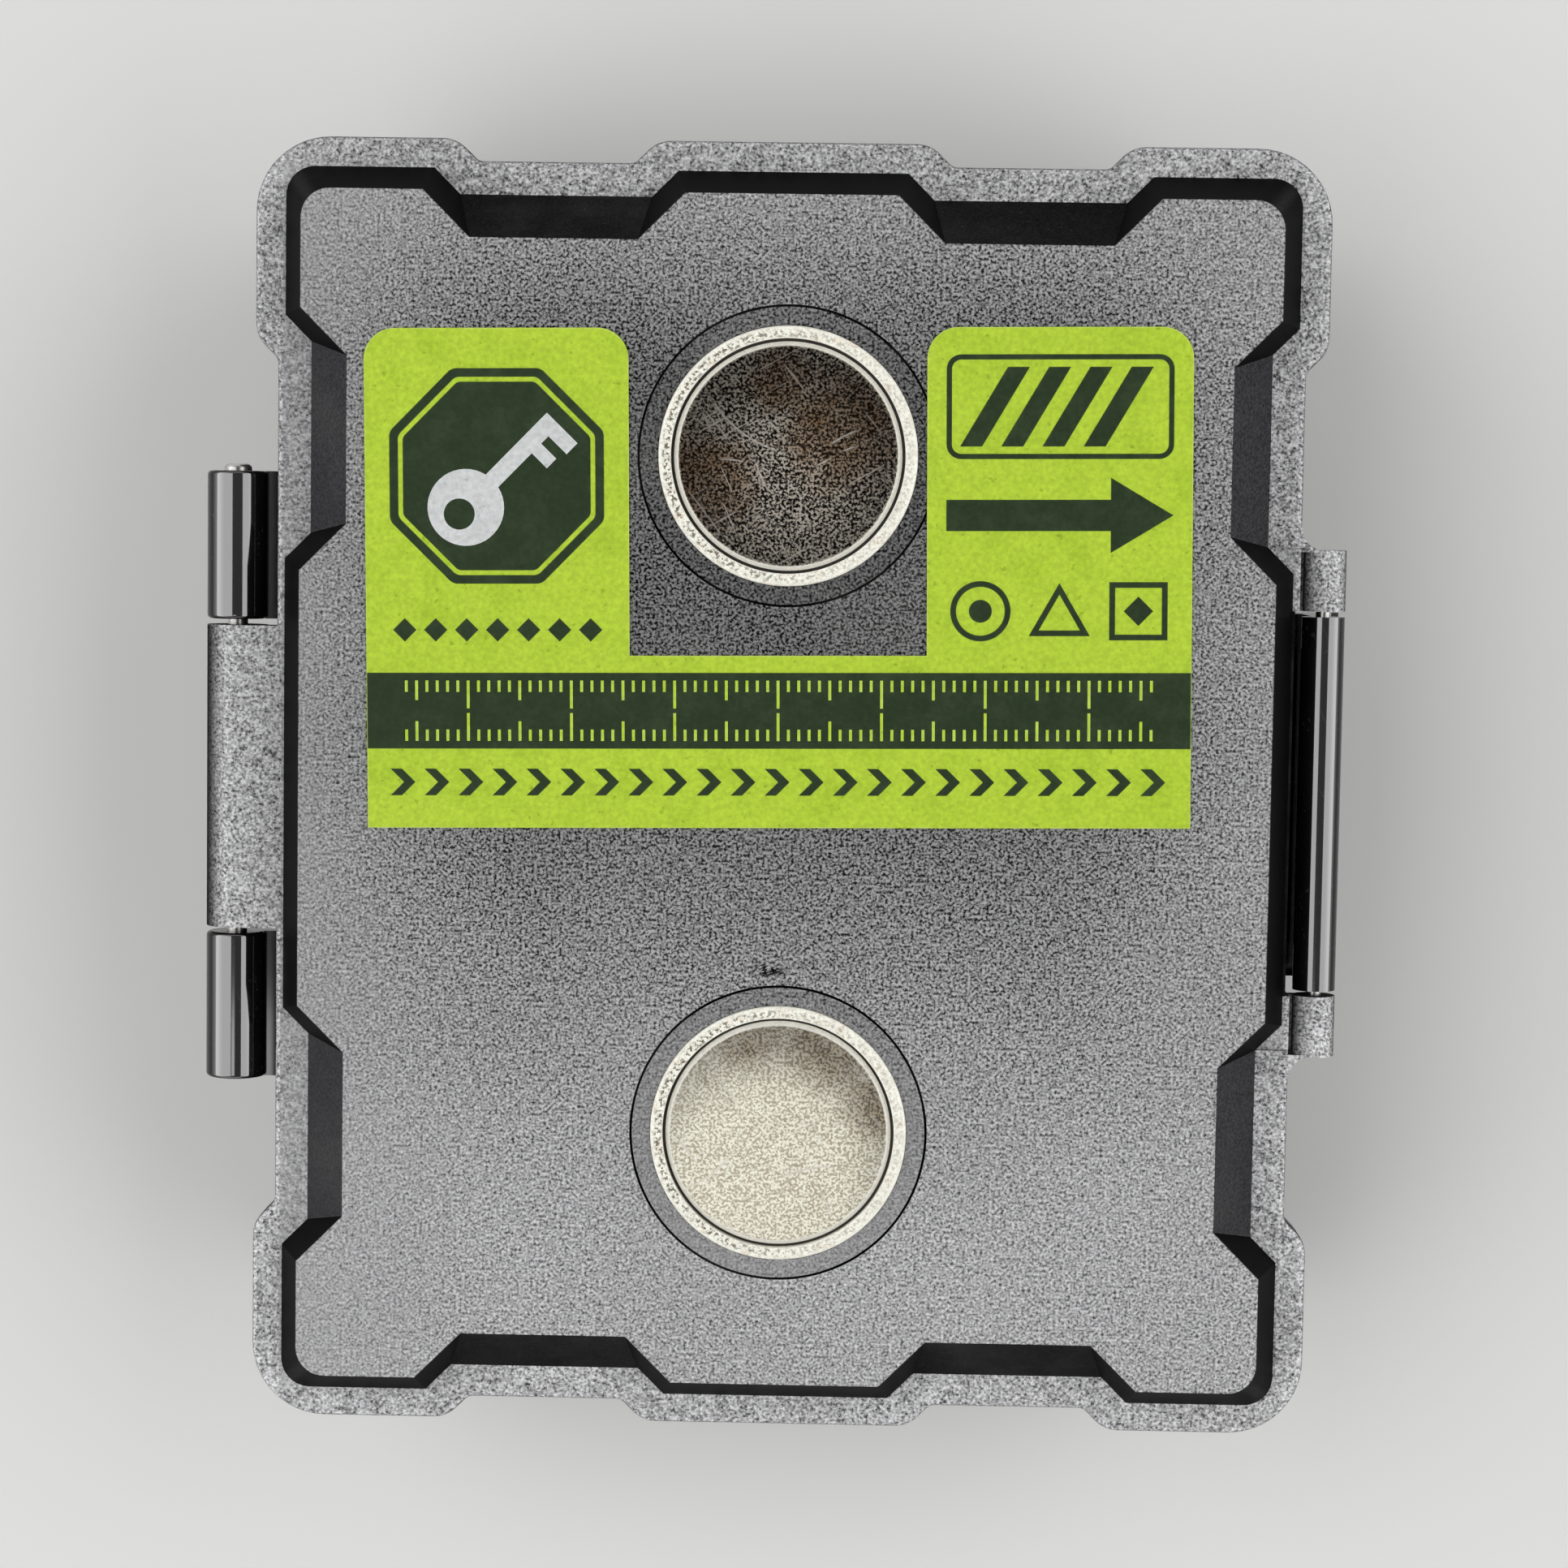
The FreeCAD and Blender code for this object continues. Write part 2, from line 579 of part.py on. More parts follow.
def tub_catch(body):
    """The rib on the right wall that the latch hooks under, with a sloped top."""
    low = "dims.tub_height + dims.latch_axis_up - dims.hook_drop + dims.latch_play"
    out = "dims.foot_width / 2 + dims.catch_reach"
    root = "dims.foot_width / 2 - dims.wall / 2"
    sketch = new_sketch(body, "catch_section", "XZ_Plane", "-(dims.latch_shift + dims.catch_length / 2)")
    polygon(sketch, [
        (root, low),
        (out, low),
        (out, f"{low} + dims.catch_lip"),
        ("dims.foot_width / 2", f"{low} + dims.catch_height"),
        (root, f"{low} + dims.catch_height"),
    ])
    extrude(body, "Pad", sketch, "dims.catch_length")


def tub_ribs(body):
    """Pairs of upright ribs that hold the ends of the dividers."""
    slot = "dims.divider_thick / 2 + dims.divider_play"
    sketch = new_sketch(body, "divider_ribs", "XY_Plane", "dims.floor_thick - dims.rib_skin")
    tip_x = f"{HOLLOW_BASE_X} - dims.rib_reach"
    tip_y = f"{HOLLOW_BASE_Y} - dims.rib_reach"
    root_x = f"{SKIN_BASE_X} - dims.rib_skin"
    root_y = f"{SKIN_BASE_Y} - dims.rib_skin"
    for end in ("", "-"):
        for side in ("", "-"):
            rectangle(
                sketch,
                f"{side}({slot})", f"{side}({slot} + dims.rib_width)",
                f"{end}({tip_y})", f"{end}({root_y})",
            )
    for end in ("", "-"):
        for row_sign in ("", "-"):
            for side in ("", "-"):
                middle = f"{row_sign}(dims.divider_pitch / 2)"
                rectangle(
                    sketch,
                    f"{end}({tip_x})", f"{end}({root_x})",
                    f"{middle} + {side}({slot})", f"{middle} + {side}({slot} + dims.rib_width)",
                )
    extrude(body, "Pad", sketch, "dims.divider_top - dims.floor_thick + dims.rib_skin")


def make_lid():
    """The shallow shell: flange, leaning walls, magnet wells, knuckle, ears and tongue."""
    low = value("flange_thick")
    high = value("flange_thick") + value("lid_rise")
    face = wall_outline(
        value("face_inset_x"), value("face_inset_y"), value("notch_depth_face"),
        value("flare_inner"), value("flare_outer"),
    )
    foot = wall_outline(0, 0, value("notch_depth_foot"), 0, 0)
    body = new_body("lid_shell", z=PARTING, start=leaning_walls("lid_walls", low, foot, high, face))
    dress(body, "Fillet", "wall_corners", "dims.foot_corner", wall_corner)
    dress(body, "Fillet", "face_edge", "dims.face_round", lambda edge: at_height(edge, high))
    flange(body, "0")
    dress(
        body, "Fillet", "rim_top_edge", "dims.rim_round",
        lambda edge: at_height(edge, value("flange_thick")) and outside_foot(edge),
    )
    dress(body, "Fillet", "rim_parting_edge", "dims.parting_round", lambda edge: at_height(edge, 0))
    lid_knuckle(body)
    lid_ears(body)
    latch_room(body, "0")
    hollow = new_sketch(body, "hollow_outline", "XY_Plane", "0")
    rounded_rectangle(
        hollow,
        "dims.foot_width / 2 - dims.face_inset_x - dims.notch_depth_face - dims.lid_wall_min",
        "dims.foot_length / 2 - dims.face_inset_y - dims.notch_depth_face - dims.lid_wall_min",
        "dims.cavity_corner",
    )
    extrude(body, "Pocket", hollow, f"{LID_FACE} - dims.panel_thick", reverse=True)
    lid_wells(body)
    tongue = ring_sketch(
        body, "sealing_tongue", "0",
        f"{GROOVE_X} + (dims.groove_width - dims.tongue_width) / 2",
        f"{GROOVE_Y} + (dims.groove_width - dims.tongue_width) / 2",
        f"{GROOVE_CORNER} + (dims.groove_width - dims.tongue_width) / 2",
        "dims.tongue_width",
    )
    extrude(body, "Pad", tongue, "dims.tongue_height", reverse=True)
    return body


def lid_knuckle(body):
    """The middle barrel of the hinge, merging into the top of the lid's flange."""
    high = "dims.hinge_shift + dims.hinge_middle / 2"
    low = "dims.hinge_shift - dims.hinge_middle / 2"
    knuckle_barrel(body, "middle_knuckle", HINGE_X, "0", "dims.flange_thick", high, "dims.hinge_middle")
    block(
        body, "Pad", "middle_web",
        HINGE_X, f"-({FLANGE_STEP_X} - dims.wall)",
        low, high, "0", "dims.flange_thick",
    )
    bore_along(
        body, "hinge_bore", HINGE_X, "0", "dims.hinge_pin_width / 2 + dims.pin_play",
        low, "dims.hinge_middle",
    )


def lid_ears(body):
    """The two ears that hold the latch pin, each with a fillet to the flange."""
    upper_high = f"dims.latch_shift + {EAR_END}"
    lower_high = f"dims.latch_shift - ({LATCH_CLEAR})"
    for side, y_high in (("upper", upper_high), ("lower", lower_high)):
        knuckle_barrel(
            body, f"{side}_ear", LATCH_X, "dims.latch_axis_up", "dims.latch_barrel",
            y_high, "dims.ear_length",
        )
        block(
            body, "Pad", f"{side}_ear_web",
            HALF_WIDTH, LATCH_X, f"{y_high} - dims.ear_length", y_high,
            "0", "dims.ear_web",
        )
    corner_blocks = new_sketch(body, "ear_fillet_blocks", "XY_Plane", "0")
    corner_rounds = new_sketch(body, "ear_fillet_rounds", "XY_Plane", "0")
    for sign in ("", "-"):
        end = f"{sign}({EAR_END})"
        rectangle(
            corner_blocks,
            HALF_WIDTH, f"{FLANGE_STEP_X} + dims.ear_fillet",
            f"dims.latch_shift + {end} - {sign}(dims.ear_lap)",
            f"dims.latch_shift + {end} + {sign}(dims.ear_fillet)",
        )
        circle(
            corner_rounds,
            f"{FLANGE_STEP_X} + dims.ear_fillet",
            f"dims.latch_shift + {end} + {sign}(dims.ear_fillet)",
            "dims.ear_fillet",
        )
    extrude(body, "Pad", corner_blocks, "dims.flange_thick")
    extrude(body, "Pocket", corner_rounds, "dims.flange_thick", reverse=True)
    lid_ear_recesses(body)
    bore_along(
        body, "latch_bore", LATCH_X, "dims.latch_axis_up", "dims.latch_pin_width / 2 + dims.pin_grip",
        f"dims.latch_shift - ({EAR_END})", f"2 * ({EAR_END})",
    )


def lid_ear_recesses(body):
    """Lowers the flange a little beside each ear, as far as the foot of the wall."""
    sketch = new_sketch(body, "ear_recesses", "XY_Plane", "dims.flange_thick")
    outside = f"{FLANGE_STEP_X} + dims.rim_round"
    for sign in ("", "-"):
        start = f"dims.latch_shift + {sign}({LATCH_CLEAR})"
        stop = f"{sign}(dims.side_pad_half + dims.notch_depth_foot)"
        polygon(sketch, [
            (HALF_WIDTH, start),
            (HALF_WIDTH, f"{sign}(dims.side_pad_half)"),
            (f"{HALF_WIDTH} - dims.notch_depth_foot", stop),
            (outside, stop),
            (outside, start),
        ])
    extrude(body, "Pocket", sketch, "dims.ear_recess")


def lid_wells(body):
    """Bosses under the panel, a well for each steel cup, screw holes and fine rings."""
    bosses = new_sketch(body, "well_bosses", "XY_Plane", BOSS_LOW)
    wells = new_sketch(body, "magnet_wells", "XY_Plane", LID_FACE)
    holes = new_sketch(body, "screw_holes", "XY_Plane", BOSS_LOW)
    rings = new_sketch(body, "witness_rings", "XY_Plane", LID_FACE)
    for _end, sign in MAGNET_ENDS:
        y = f"{sign}({MAGNET_Y})"
        circle(bosses, "0", y, f"{CUP_RADIUS} + dims.cup_play + dims.boss_wall")
        circle(wells, "0", y, f"{CUP_RADIUS} + dims.cup_play")
        circle(holes, "0", y, "dims.screw_width / 2 + dims.screw_hole_play")
        circle(rings, "0", y, f"{CUP_RADIUS} + dims.witness_gap - dims.witness_width / 2")
        circle(rings, "0", y, f"{CUP_RADIUS} + dims.witness_gap + dims.witness_width / 2")
    extrude(body, "Pad", bosses, f"{LID_FACE} - dims.panel_thick / 2 - ({BOSS_LOW})")
    extrude(body, "Pocket", wells, f"{LID_FACE} - ({WELL_FLOOR})")
    extrude(body, "Pocket", holes, "dims.well_floor", reverse=True)
    extrude(body, "Pocket", rings, "dims.witness_depth")


def make_hinge_pin():
    """A steel pin through all three knuckles, with a domed head at the upper end."""
    body = new_body("hinge_pin", x=HINGE_X, y="dims.hinge_shift", z=PARTING)
    half = "dims.hinge_middle / 2 + dims.hinge_gap + dims.hinge_outer"
    knuckle_barrel(body, "shank", "0", "0", "dims.hinge_pin_width / 2", half, f"2 * ({half})")
    knuckle_barrel(
        body, "head", "0", "0", "dims.hinge_head_width / 2",
        f"{half} + dims.hinge_head_height", "dims.hinge_head_height",
    )
    doc.recompute()
    tip = body.Tip.Shape.BoundBox.YMax
    dress(
        body, "Fillet", "head_dome", "dims.hinge_head_dome",
        lambda edge: near(edge.BoundBox.YMin, tip) and near(edge.BoundBox.YMax, tip),
    )
    return body


def make_latch():
    """The latch: a barrel, a plate with a hook inside and a thumb lip at its foot."""
    body = new_body(
        "latch_plate", x=LATCH_X, y="dims.latch_shift", z=f"{PARTING} + dims.latch_axis_up",
    )
    half = "dims.latch_length / 2"
    sketch = new_sketch(body, "plate_section", "XZ_Plane", f"-({half})")
    inner = "-dims.latch_inner"
    outer = "dims.latch_outer"
    polygon(sketch, [
        (inner, "0"),
        (inner, "-dims.hook_drop"),
        (f"{inner} - dims.hook_reach", "-dims.hook_drop"),
        (f"{inner} - dims.hook_reach", "-dims.hook_drop - dims.hook_lip"),
        (inner, "-dims.hook_drop - dims.hook_height"),
        (inner, "-dims.latch_drop + dims.lip_reach / 2"),
        (f"{outer} + dims.lip_reach", "-dims.latch_drop - dims.lip_thick"),
        (f"{outer} + dims.lip_reach", "-dims.latch_drop"),
        (outer, "-dims.latch_drop + dims.lip_reach"),
        (outer, "0"),
    ])
    extrude(body, "Pad", sketch, "dims.latch_length")
    knuckle_barrel(body, "barrel", "0", "0", "dims.latch_barrel", half, "dims.latch_length")
    bore_along(
        body, "latch_bore", "0", "0", "dims.latch_pin_width / 2 + dims.pin_play",
        f"-({half})", "dims.latch_length",
    )
    return body


def make_latch_pin():
    """A steel pin held in both ears, on which the latch turns."""
    body = new_body(
        "latch_pin", x=LATCH_X, y="dims.latch_shift", z=f"{PARTING} + dims.latch_axis_up",
    )
    knuckle_barrel(
        body, "shank", "0", "0", "dims.latch_pin_width / 2", EAR_END, f"2 * ({EAR_END})",
    )
    return body


def make_gasket():
    """A rubber ring that lies in the groove of the tub's rim."""
    body = new_body("rim_gasket", z=f"{PARTING} - dims.groove_depth")
    sketch = ring_sketch(
        body, "gasket_outline", "0",
        f"{GROOVE_X} + dims.gasket_play", f"{GROOVE_Y} + dims.gasket_play",
        f"{GROOVE_CORNER} + dims.gasket_play", "dims.groove_width - 2 * dims.gasket_play",
    )
    extrude(body, "Pad", sketch, "dims.gasket_height")
    return body


def make_magnet_cup(end, sign):
    """A pressed steel cup with a threaded hole in its floor."""
    body = new_body(
        f"magnet_cup_{end}", y=f"{sign}({MAGNET_Y})", z=f"{PARTING} + {WELL_FLOOR}",
    )
    outside = circle(new_sketch(body, "cup_outside"), "0", "0", CUP_RADIUS)
    extrude(body, "Pad", outside, "dims.cup_height")
    top = value("cup_height")
    dress(body, "Fillet", "cup_rim", "dims.cup_round", lambda edge: at_height(edge, top))
    inside = circle(new_sketch(body, "cup_inside", "XY_Plane", "dims.cup_height"), "0", "0", CUP_BORE)
    extrude(body, "Pocket", inside, "dims.cup_height - dims.cup_floor")
    thread = circle(new_sketch(body, "thread_hole"), "0", "0", "dims.screw_width / 2")
    extrude(body, "Pocket", thread, "dims.cup_floor", reverse=True)
    return body


def make_magnet_disc(end, sign):
    """The magnet itself, a plated disc with a bevelled edge."""
    body = new_body(
        f"magnet_disc_{end}", y=f"{sign}({MAGNET_Y})",
        z=f"{PARTING} + {WELL_FLOOR} + dims.cup_floor",
    )
    outline = circle(new_sketch(body, "disc_outline"), "0", "0", DISC_RADIUS)
    extrude(body, "Pad", outline, "dims.cup_height - dims.cup_floor")
    top = value("cup_height") - value("cup_floor")
    dress(body, "Chamfer", "disc_bevel", "dims.disc_chamfer", lambda edge: at_height(edge, top))
    return body


def make_resin_ring(end, sign):
    """The dark resin that fills the gap between magnet and cup."""
    body = new_body(
        f"resin_ring_{end}", y=f"{sign}({MAGNET_Y})",
        z=f"{PARTING} + {WELL_FLOOR} + dims.cup_floor",
    )
    sketch = new_sketch(body, "resin_outline")
    circle(sketch, "0", "0", f"{CUP_BORE} - dims.resin_play")
    circle(sketch, "0", "0", f"{DISC_RADIUS} + dims.resin_play")
    height = "dims.cup_height - dims.cup_floor - dims.disc_chamfer - dims.resin_low"
    extrude(body, "Pad", sketch, height)
    return body


def make_washer(end, sign):
    """A flat sealing washer between the screw head and the boss."""
    body = new_body(
        f"seal_washer_{end}", y=f"{sign}({MAGNET_Y})",
        z=f"{PARTING} + {BOSS_LOW} - dims.washer_thick",
    )
    sketch = new_sketch(body, "washer_outline")
    circle(sketch, "0", "0", "dims.washer_width / 2")
    circle(sketch, "0", "0", "dims.screw_width / 2 + dims.screw_hole_play")
    extrude(body, "Pad", sketch, "dims.washer_thick")
    return body


def make_screw(end, sign):
    """A pan head screw that holds the cup from inside the lid."""
    body = new_body(
        f"magnet_screw_{end}", y=f"{sign}({MAGNET_Y})",
        z=f"{PARTING} + {BOSS_LOW} - dims.washer_thick",
    )
    shank = circle(new_sketch(body, "shank_outline"), "0", "0", "dims.screw_width / 2 - dims.screw_play")
    extrude(
        body, "Pad", shank,
        "dims.washer_thick + dims.well_floor + dims.cup_floor - dims.screw_end",
    )
    head = circle(new_sketch(body, "head_outline"), "0", "0", "dims.screw_head_width / 2")
    extrude(body, "Pad", head, "dims.screw_head_height", reverse=True)
    low = -value("screw_head_height")
    dress(
        body, "Fillet", "pan_edge", "dims.screw_head_height / 2",
        lambda edge: at_height(edge, low),
    )
    arms = (("recess_across", "length", "width"), ("recess_along", "width", "length"))
    for name, across, along in arms:
        block(
            body, "Pocket", name,
            f"-dims.recess_{across} / 2", f"dims.recess_{across} / 2",
            f"-dims.recess_{along} / 2", f"dims.recess_{along} / 2",
            "-dims.screw_head_height", "dims.recess_depth",
        )
    return body


def make_long_divider():
    """The long divider, with a slot from above at each crossing."""
    body = new_body("divider_long", z="dims.floor_thick")
    half = f"{HOLLOW_BASE_Y} - dims.divider_end"
    block(
        body, "Pad", "plate",
        "-dims.divider_thick / 2", "dims.divider_thick / 2",
        f"-({half})", half, "0", "dims.divider_top - dims.floor_thick",
    )
    slot = "dims.divider_thick / 2 + dims.divider_play"
    for side, sign in (("upper", ""), ("lower", "-")):
        middle = f"{sign}(dims.divider_pitch / 2)"
        block(
            body, "Pocket", f"{side}_slot",
            "-dims.divider_thick", "dims.divider_thick",
            f"{middle} - ({slot})", f"{middle} + {slot}",
            "(dims.divider_top - dims.floor_thick) / 2 - dims.divider_play",
            "(dims.divider_top - dims.floor_thick) / 2 + dims.divider_play",
        )
    return body


def make_cross_divider(end, sign):
    """A cross divider, with a slot from below that drops over the long one."""
    body = new_body(f"divider_cross_{end}", y=f"{sign}(dims.divider_pitch / 2)", z="dims.floor_thick")
    half = f"{HOLLOW_BASE_X} - dims.divider_end"
    block(
        body, "Pad", "plate",
        f"-({half})", half, "-dims.divider_thick / 2", "dims.divider_thick / 2",
        "0", "dims.divider_top - dims.floor_thick",
    )
    slot = "dims.divider_thick / 2 + dims.divider_play"
    block(
        body, "Pocket", "slot",
        f"-({slot})", slot, "-dims.divider_thick", "dims.divider_thick",
        "0", "(dims.divider_top - dims.floor_thick) / 2",
    )
    return body


def make_label():
    """The label film on the lid, with a tab each side of the upper magnet."""
    body = new_body("label_sticker", x="dims.label_x", y="dims.label_y", z=f"{PARTING} + {LID_FACE}")
    turn = FreeCAD.Rotation(FreeCAD.Vector(0, 0, 1), value("label_tilt"))
    body.Placement = FreeCAD.Placement(body.Placement.Base, turn)
    top = f"{MAGNET_Y} - dims.label_y + dims.label_over"
    inside = f"{CUP_RADIUS} + dims.label_clear_side"
    notch = f"{MAGNET_Y} - dims.label_y - {CUP_RADIUS} - dims.label_clear_below"
    sketch = new_sketch(body, "label_outline")
    polygon(sketch, [
        (f"-({LABEL_HALF})", "0"),
        (LABEL_HALF, "0"),
        (LABEL_HALF, top),
        (inside, top),
        (inside, notch),
        (f"-({inside})", notch),
        (f"-({inside})", top),
        (f"-({LABEL_HALF})", top),
    ])
    extrude(body, "Pad", sketch, "dims.label_thick")
    doc.recompute()
    thick = value("label_thick")
    far = max(vertex.Y for vertex in sketch.Shape.Vertexes)
    dress(
        body, "Fillet", "tab_corners", "dims.label_corner",
        lambda edge: upright(edge, 0, thick) and near(edge.BoundBox.Center.y, far),
    )
    return body


def build_all():
    """Every body of the box, in the order of assembly."""
    bodies = [make_tub(), make_gasket(), make_long_divider()]
    for end, sign in MAGNET_ENDS:
        bodies.append(make_cross_divider(end, sign))
    bodies += [make_hinge_pin(), make_lid()]
    for end, sign in MAGNET_ENDS:
        bodies += [
            make_magnet_cup(end, sign),
            make_resin_ring(end, sign),
            make_magnet_disc(end, sign),
            make_washer(end, sign),
            make_screw(end, sign),
        ]
    bodies += [make_latch(), make_latch_pin(), make_label()]
    return bodies


def check_and_export(bodies):
    """Stops at any failed feature or bad shape, then writes one file for each body."""
    doc.recompute()
    for feature in doc.Objects:
        if "Invalid" in feature.State or "Error" in feature.State:
            raise RuntimeError(f"{feature.Name} failed: {feature.State}")
    for body in bodies:
        shape = body.Shape
        if shape.isNull() or not shape.isValid() or len(shape.Solids) != 1:
            raise RuntimeError(f"{body.Label} has no single valid solid")
    os.makedirs("parts", exist_ok=True)
    for body in bodies:
        body.Shape.exportStep(f"parts/{body.Label}.step")
        box = body.Shape.BoundBox
        print(
            f"{body.Label}: x {box.XMin:.2f} to {box.XMax:.2f}, y {box.YMin:.2f} to {box.YMax:.2f}, "
            f"z {box.ZMin:.2f} to {box.ZMax:.2f}, volume {body.Shape.Volume:.1f}"
        )


check_and_export(build_all())
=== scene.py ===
"""Looks of a rugged magnetic key box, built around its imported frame.

The box lies on its tub with the magnet face up. Sizes in this file are in millimetres and are turned
into metres where they reach Blender. A field that holds a pair of numbers for Wiring.remap says where
its mask is 0 and where it is 1.
"""

import logging
import math
from dataclasses import dataclass
from enum import Enum
from functools import cached_property
from typing import Union

import bmesh
import bpy
from mathutils import Matrix, Vector

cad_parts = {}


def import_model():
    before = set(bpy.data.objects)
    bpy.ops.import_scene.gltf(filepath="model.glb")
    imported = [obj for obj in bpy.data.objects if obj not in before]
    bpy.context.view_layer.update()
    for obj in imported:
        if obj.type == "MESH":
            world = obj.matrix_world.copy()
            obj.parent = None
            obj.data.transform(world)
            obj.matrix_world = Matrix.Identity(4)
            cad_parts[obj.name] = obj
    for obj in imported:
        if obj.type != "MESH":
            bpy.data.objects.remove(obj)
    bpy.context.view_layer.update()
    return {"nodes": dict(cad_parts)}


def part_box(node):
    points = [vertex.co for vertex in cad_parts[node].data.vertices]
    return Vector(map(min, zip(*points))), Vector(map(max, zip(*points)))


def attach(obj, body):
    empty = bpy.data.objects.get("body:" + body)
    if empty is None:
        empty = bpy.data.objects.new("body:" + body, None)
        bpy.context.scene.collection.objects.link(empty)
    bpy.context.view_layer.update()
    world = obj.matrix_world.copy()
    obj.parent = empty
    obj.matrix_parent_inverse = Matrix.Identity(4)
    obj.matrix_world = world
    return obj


MM = 0.001
log = logging.getLogger("key_box")

Point = tuple[float, float]
Loop = list[Point]
Colour = tuple[float, float, float, float]
Node = bpy.types.Node
Socket = bpy.types.NodeSocket
Source = Union[Socket, float, tuple]
Material = bpy.types.Material


def colour(red: int, green: int, blue: int) -> Colour:
    """Turns a screen colour into the linear one that shaders use.

    Args:
        red: Red, 0 to 255.
        green: Green, 0 to 255.
        blue: Blue, 0 to 255.

    Returns:
        The linear colour with full alpha.
    """
    linear = []
    for part in (red, green, blue):
        share = part / 255
        linear.append(share / 12.92 if share <= 0.04045 else ((share + 0.055) / 1.055) ** 2.4)
    return (linear[0], linear[1], linear[2], 1.0)


@dataclass(frozen=True)
class Cloud:
    """A cloudy mask: the scale of its noise, and the values at which it is 0 and 1."""

    scale: float
    low: float
    high: float
    detail: float = 2.0
    rough: float = 0.5


class Effect(Enum):
    """The surface effects that several materials share."""

    GRAIN = "spark_grain"
    SCRATCHES = "fine_scratches"
    WEAR = "edge_wear"
    DUST = "settled_dust"


class Wiring:
    """Adds nodes to one node tree and links them."""

    def __init__(self, tree: bpy.types.NodeTree) -> None:
        """Keeps the tree that the nodes go into."""
        self.tree = tree

    def node(self, kind: str, **settings: object) -> Node:
        """Adds one node.

        Args:
            kind: The node's type.
            settings: The node's settings by name.

        Returns:
            The node.
        """
        made = self.tree.nodes.new(kind)
        for name, setting in settings.items():
            setattr(made, name, setting)
        return made

    def feed(self, socket: Socket, source: Source) -> None:
        """Gives an input its source.

        Args:
            socket: The input.
            source: A socket to link, or a plain value to set.
        """
        if isinstance(source, Socket):
            self.tree.links.new(source, socket)
        else:
            socket.default_value = source

    def feed_all(self, node: Node, **inputs: Source) -> None:
        """Feeds a node's inputs by name, with underscores for the blanks."""
        for name, source in inputs.items():
            self.feed(node.inputs[name.replace("_", " ")], source)

    def math(self, operation: str, *sources: Source, clamp: bool = False) -> Socket:
        """Adds a math node.

        Args:
            operation: The node's operation.
            sources: One, two or three inputs.
            clamp: Whether the result stays between 0 and 1.

        Returns:
            The result.
        """
        made = self.node("ShaderNodeMath", operation=operation, use_clamp=clamp)
        for socket, source in zip(made.inputs, sources):
            self.feed(socket, source)
        return made.outputs["Value"]

    def times(self, first: Source, *others: Source) -> Source:
        """Multiplies values.

        Args:
            first: The first value.
            others: The other values.

        Returns:
            Their product.
        """
        for other in others:
            first = self.math("MULTIPLY", first, other)
        return first

    def greatest(self, first: Source, *others: Source) -> Source:
        """Finds the greatest of some values.

        Args:
            first: The first value.
            others: The other values.

        Returns:
            The greatest.
        """
        for other in others:
            first = self.math("MAXIMUM", first, other)
        return first

    def linear(self, source: Source, gain: Source, start: Source) -> Socket:
        """A value times a gain, plus a start."""
        return self.math("MULTIPLY_ADD", source, gain, start)

    def remap(self, source: Source, low: float, high: float, start: float = 0.0,
              end: float = 1.0) -> Socket:
        """Turns a range of a value into another range with soft ends.

        Args:
            source: The value.
            low: The value that becomes start.
            high: The value that becomes end.
            start: Result at low.
            end: Result at high.

        Returns:
            The result.
        """
        made = self.node("ShaderNodeMapRange", interpolation_type="SMOOTHSTEP")
        self.feed_all(made, Value=source, From_Min=low, From_Max=high, To_Min=start, To_Max=end)
        return made.outputs["Result"]

    def mix(self, factor: Source, first: Source, second: Source, share: float = 1.0) -> Socket:
        """Blends two colours.

        Args:
            factor: Where the second colour shows.
            first: The first colour.
            second: The second colour.
            share: How much of the second colour shows where the factor is 1.

        Returns:
            The blended colour.
        """
        made = self.node("ShaderNodeMix", data_type="RGBA")
        self.feed(made.inputs["Factor"], factor if share == 1.0 else self.times(factor, share))
        colour_inputs = [socket for socket in made.inputs if socket.type == "RGBA"]
        self.feed(colour_inputs[0], first)
        self.feed(colour_inputs[1], second)
        return [socket for socket in made.outputs if socket.type == "RGBA"][0]

    def shade(self, tint: Source, factor: Source, gain: float = 1.0, start: float = 0.0) -> Socket:
        """Multiplies a colour by a value, or by a gain of that value plus a start.

        Args:
            tint: The colour.
            factor: The value.
            gain: What the value is multiplied by.
            start: What is added to it after that.

        Returns:
            The shaded colour.
        """
        if (gain, start) != (1.0, 0.0):
            factor = self.linear(factor, gain, start)
        made = self.node("ShaderNodeVectorMath", operation="SCALE")
        self.feed(made.inputs[0], tint[:3] if isinstance(tint, tuple) else tint)
        self.feed(made.inputs["Scale"], factor)
        return made.outputs["Vector"]

    def split(self, vector: Source) -> tuple:
        """Splits a vector.

        Args:
            vector: The vector.

        Returns:
            Its three parts.
        """
        made = self.node("ShaderNodeSeparateXYZ")
        self.feed(made.inputs[0], vector)
        return tuple(made.outputs)

    @cached_property
    def place(self) -> Socket:
        """The place on the object, in millimetres of the frame."""
        return self.shade(self.node("ShaderNodeTexCoord").outputs["Object"], 1 / MM)

    @cached_property
    def axes(self) -> tuple:
        """The place across, along and up."""
        return self.split(self.place)

    @cached_property
    def aim(self) -> tuple:
        """How far the surface faces across, along and up in the frame, each from -1 to 1."""
        return self.split(self.node("ShaderNodeTexCoord").outputs["Normal"])

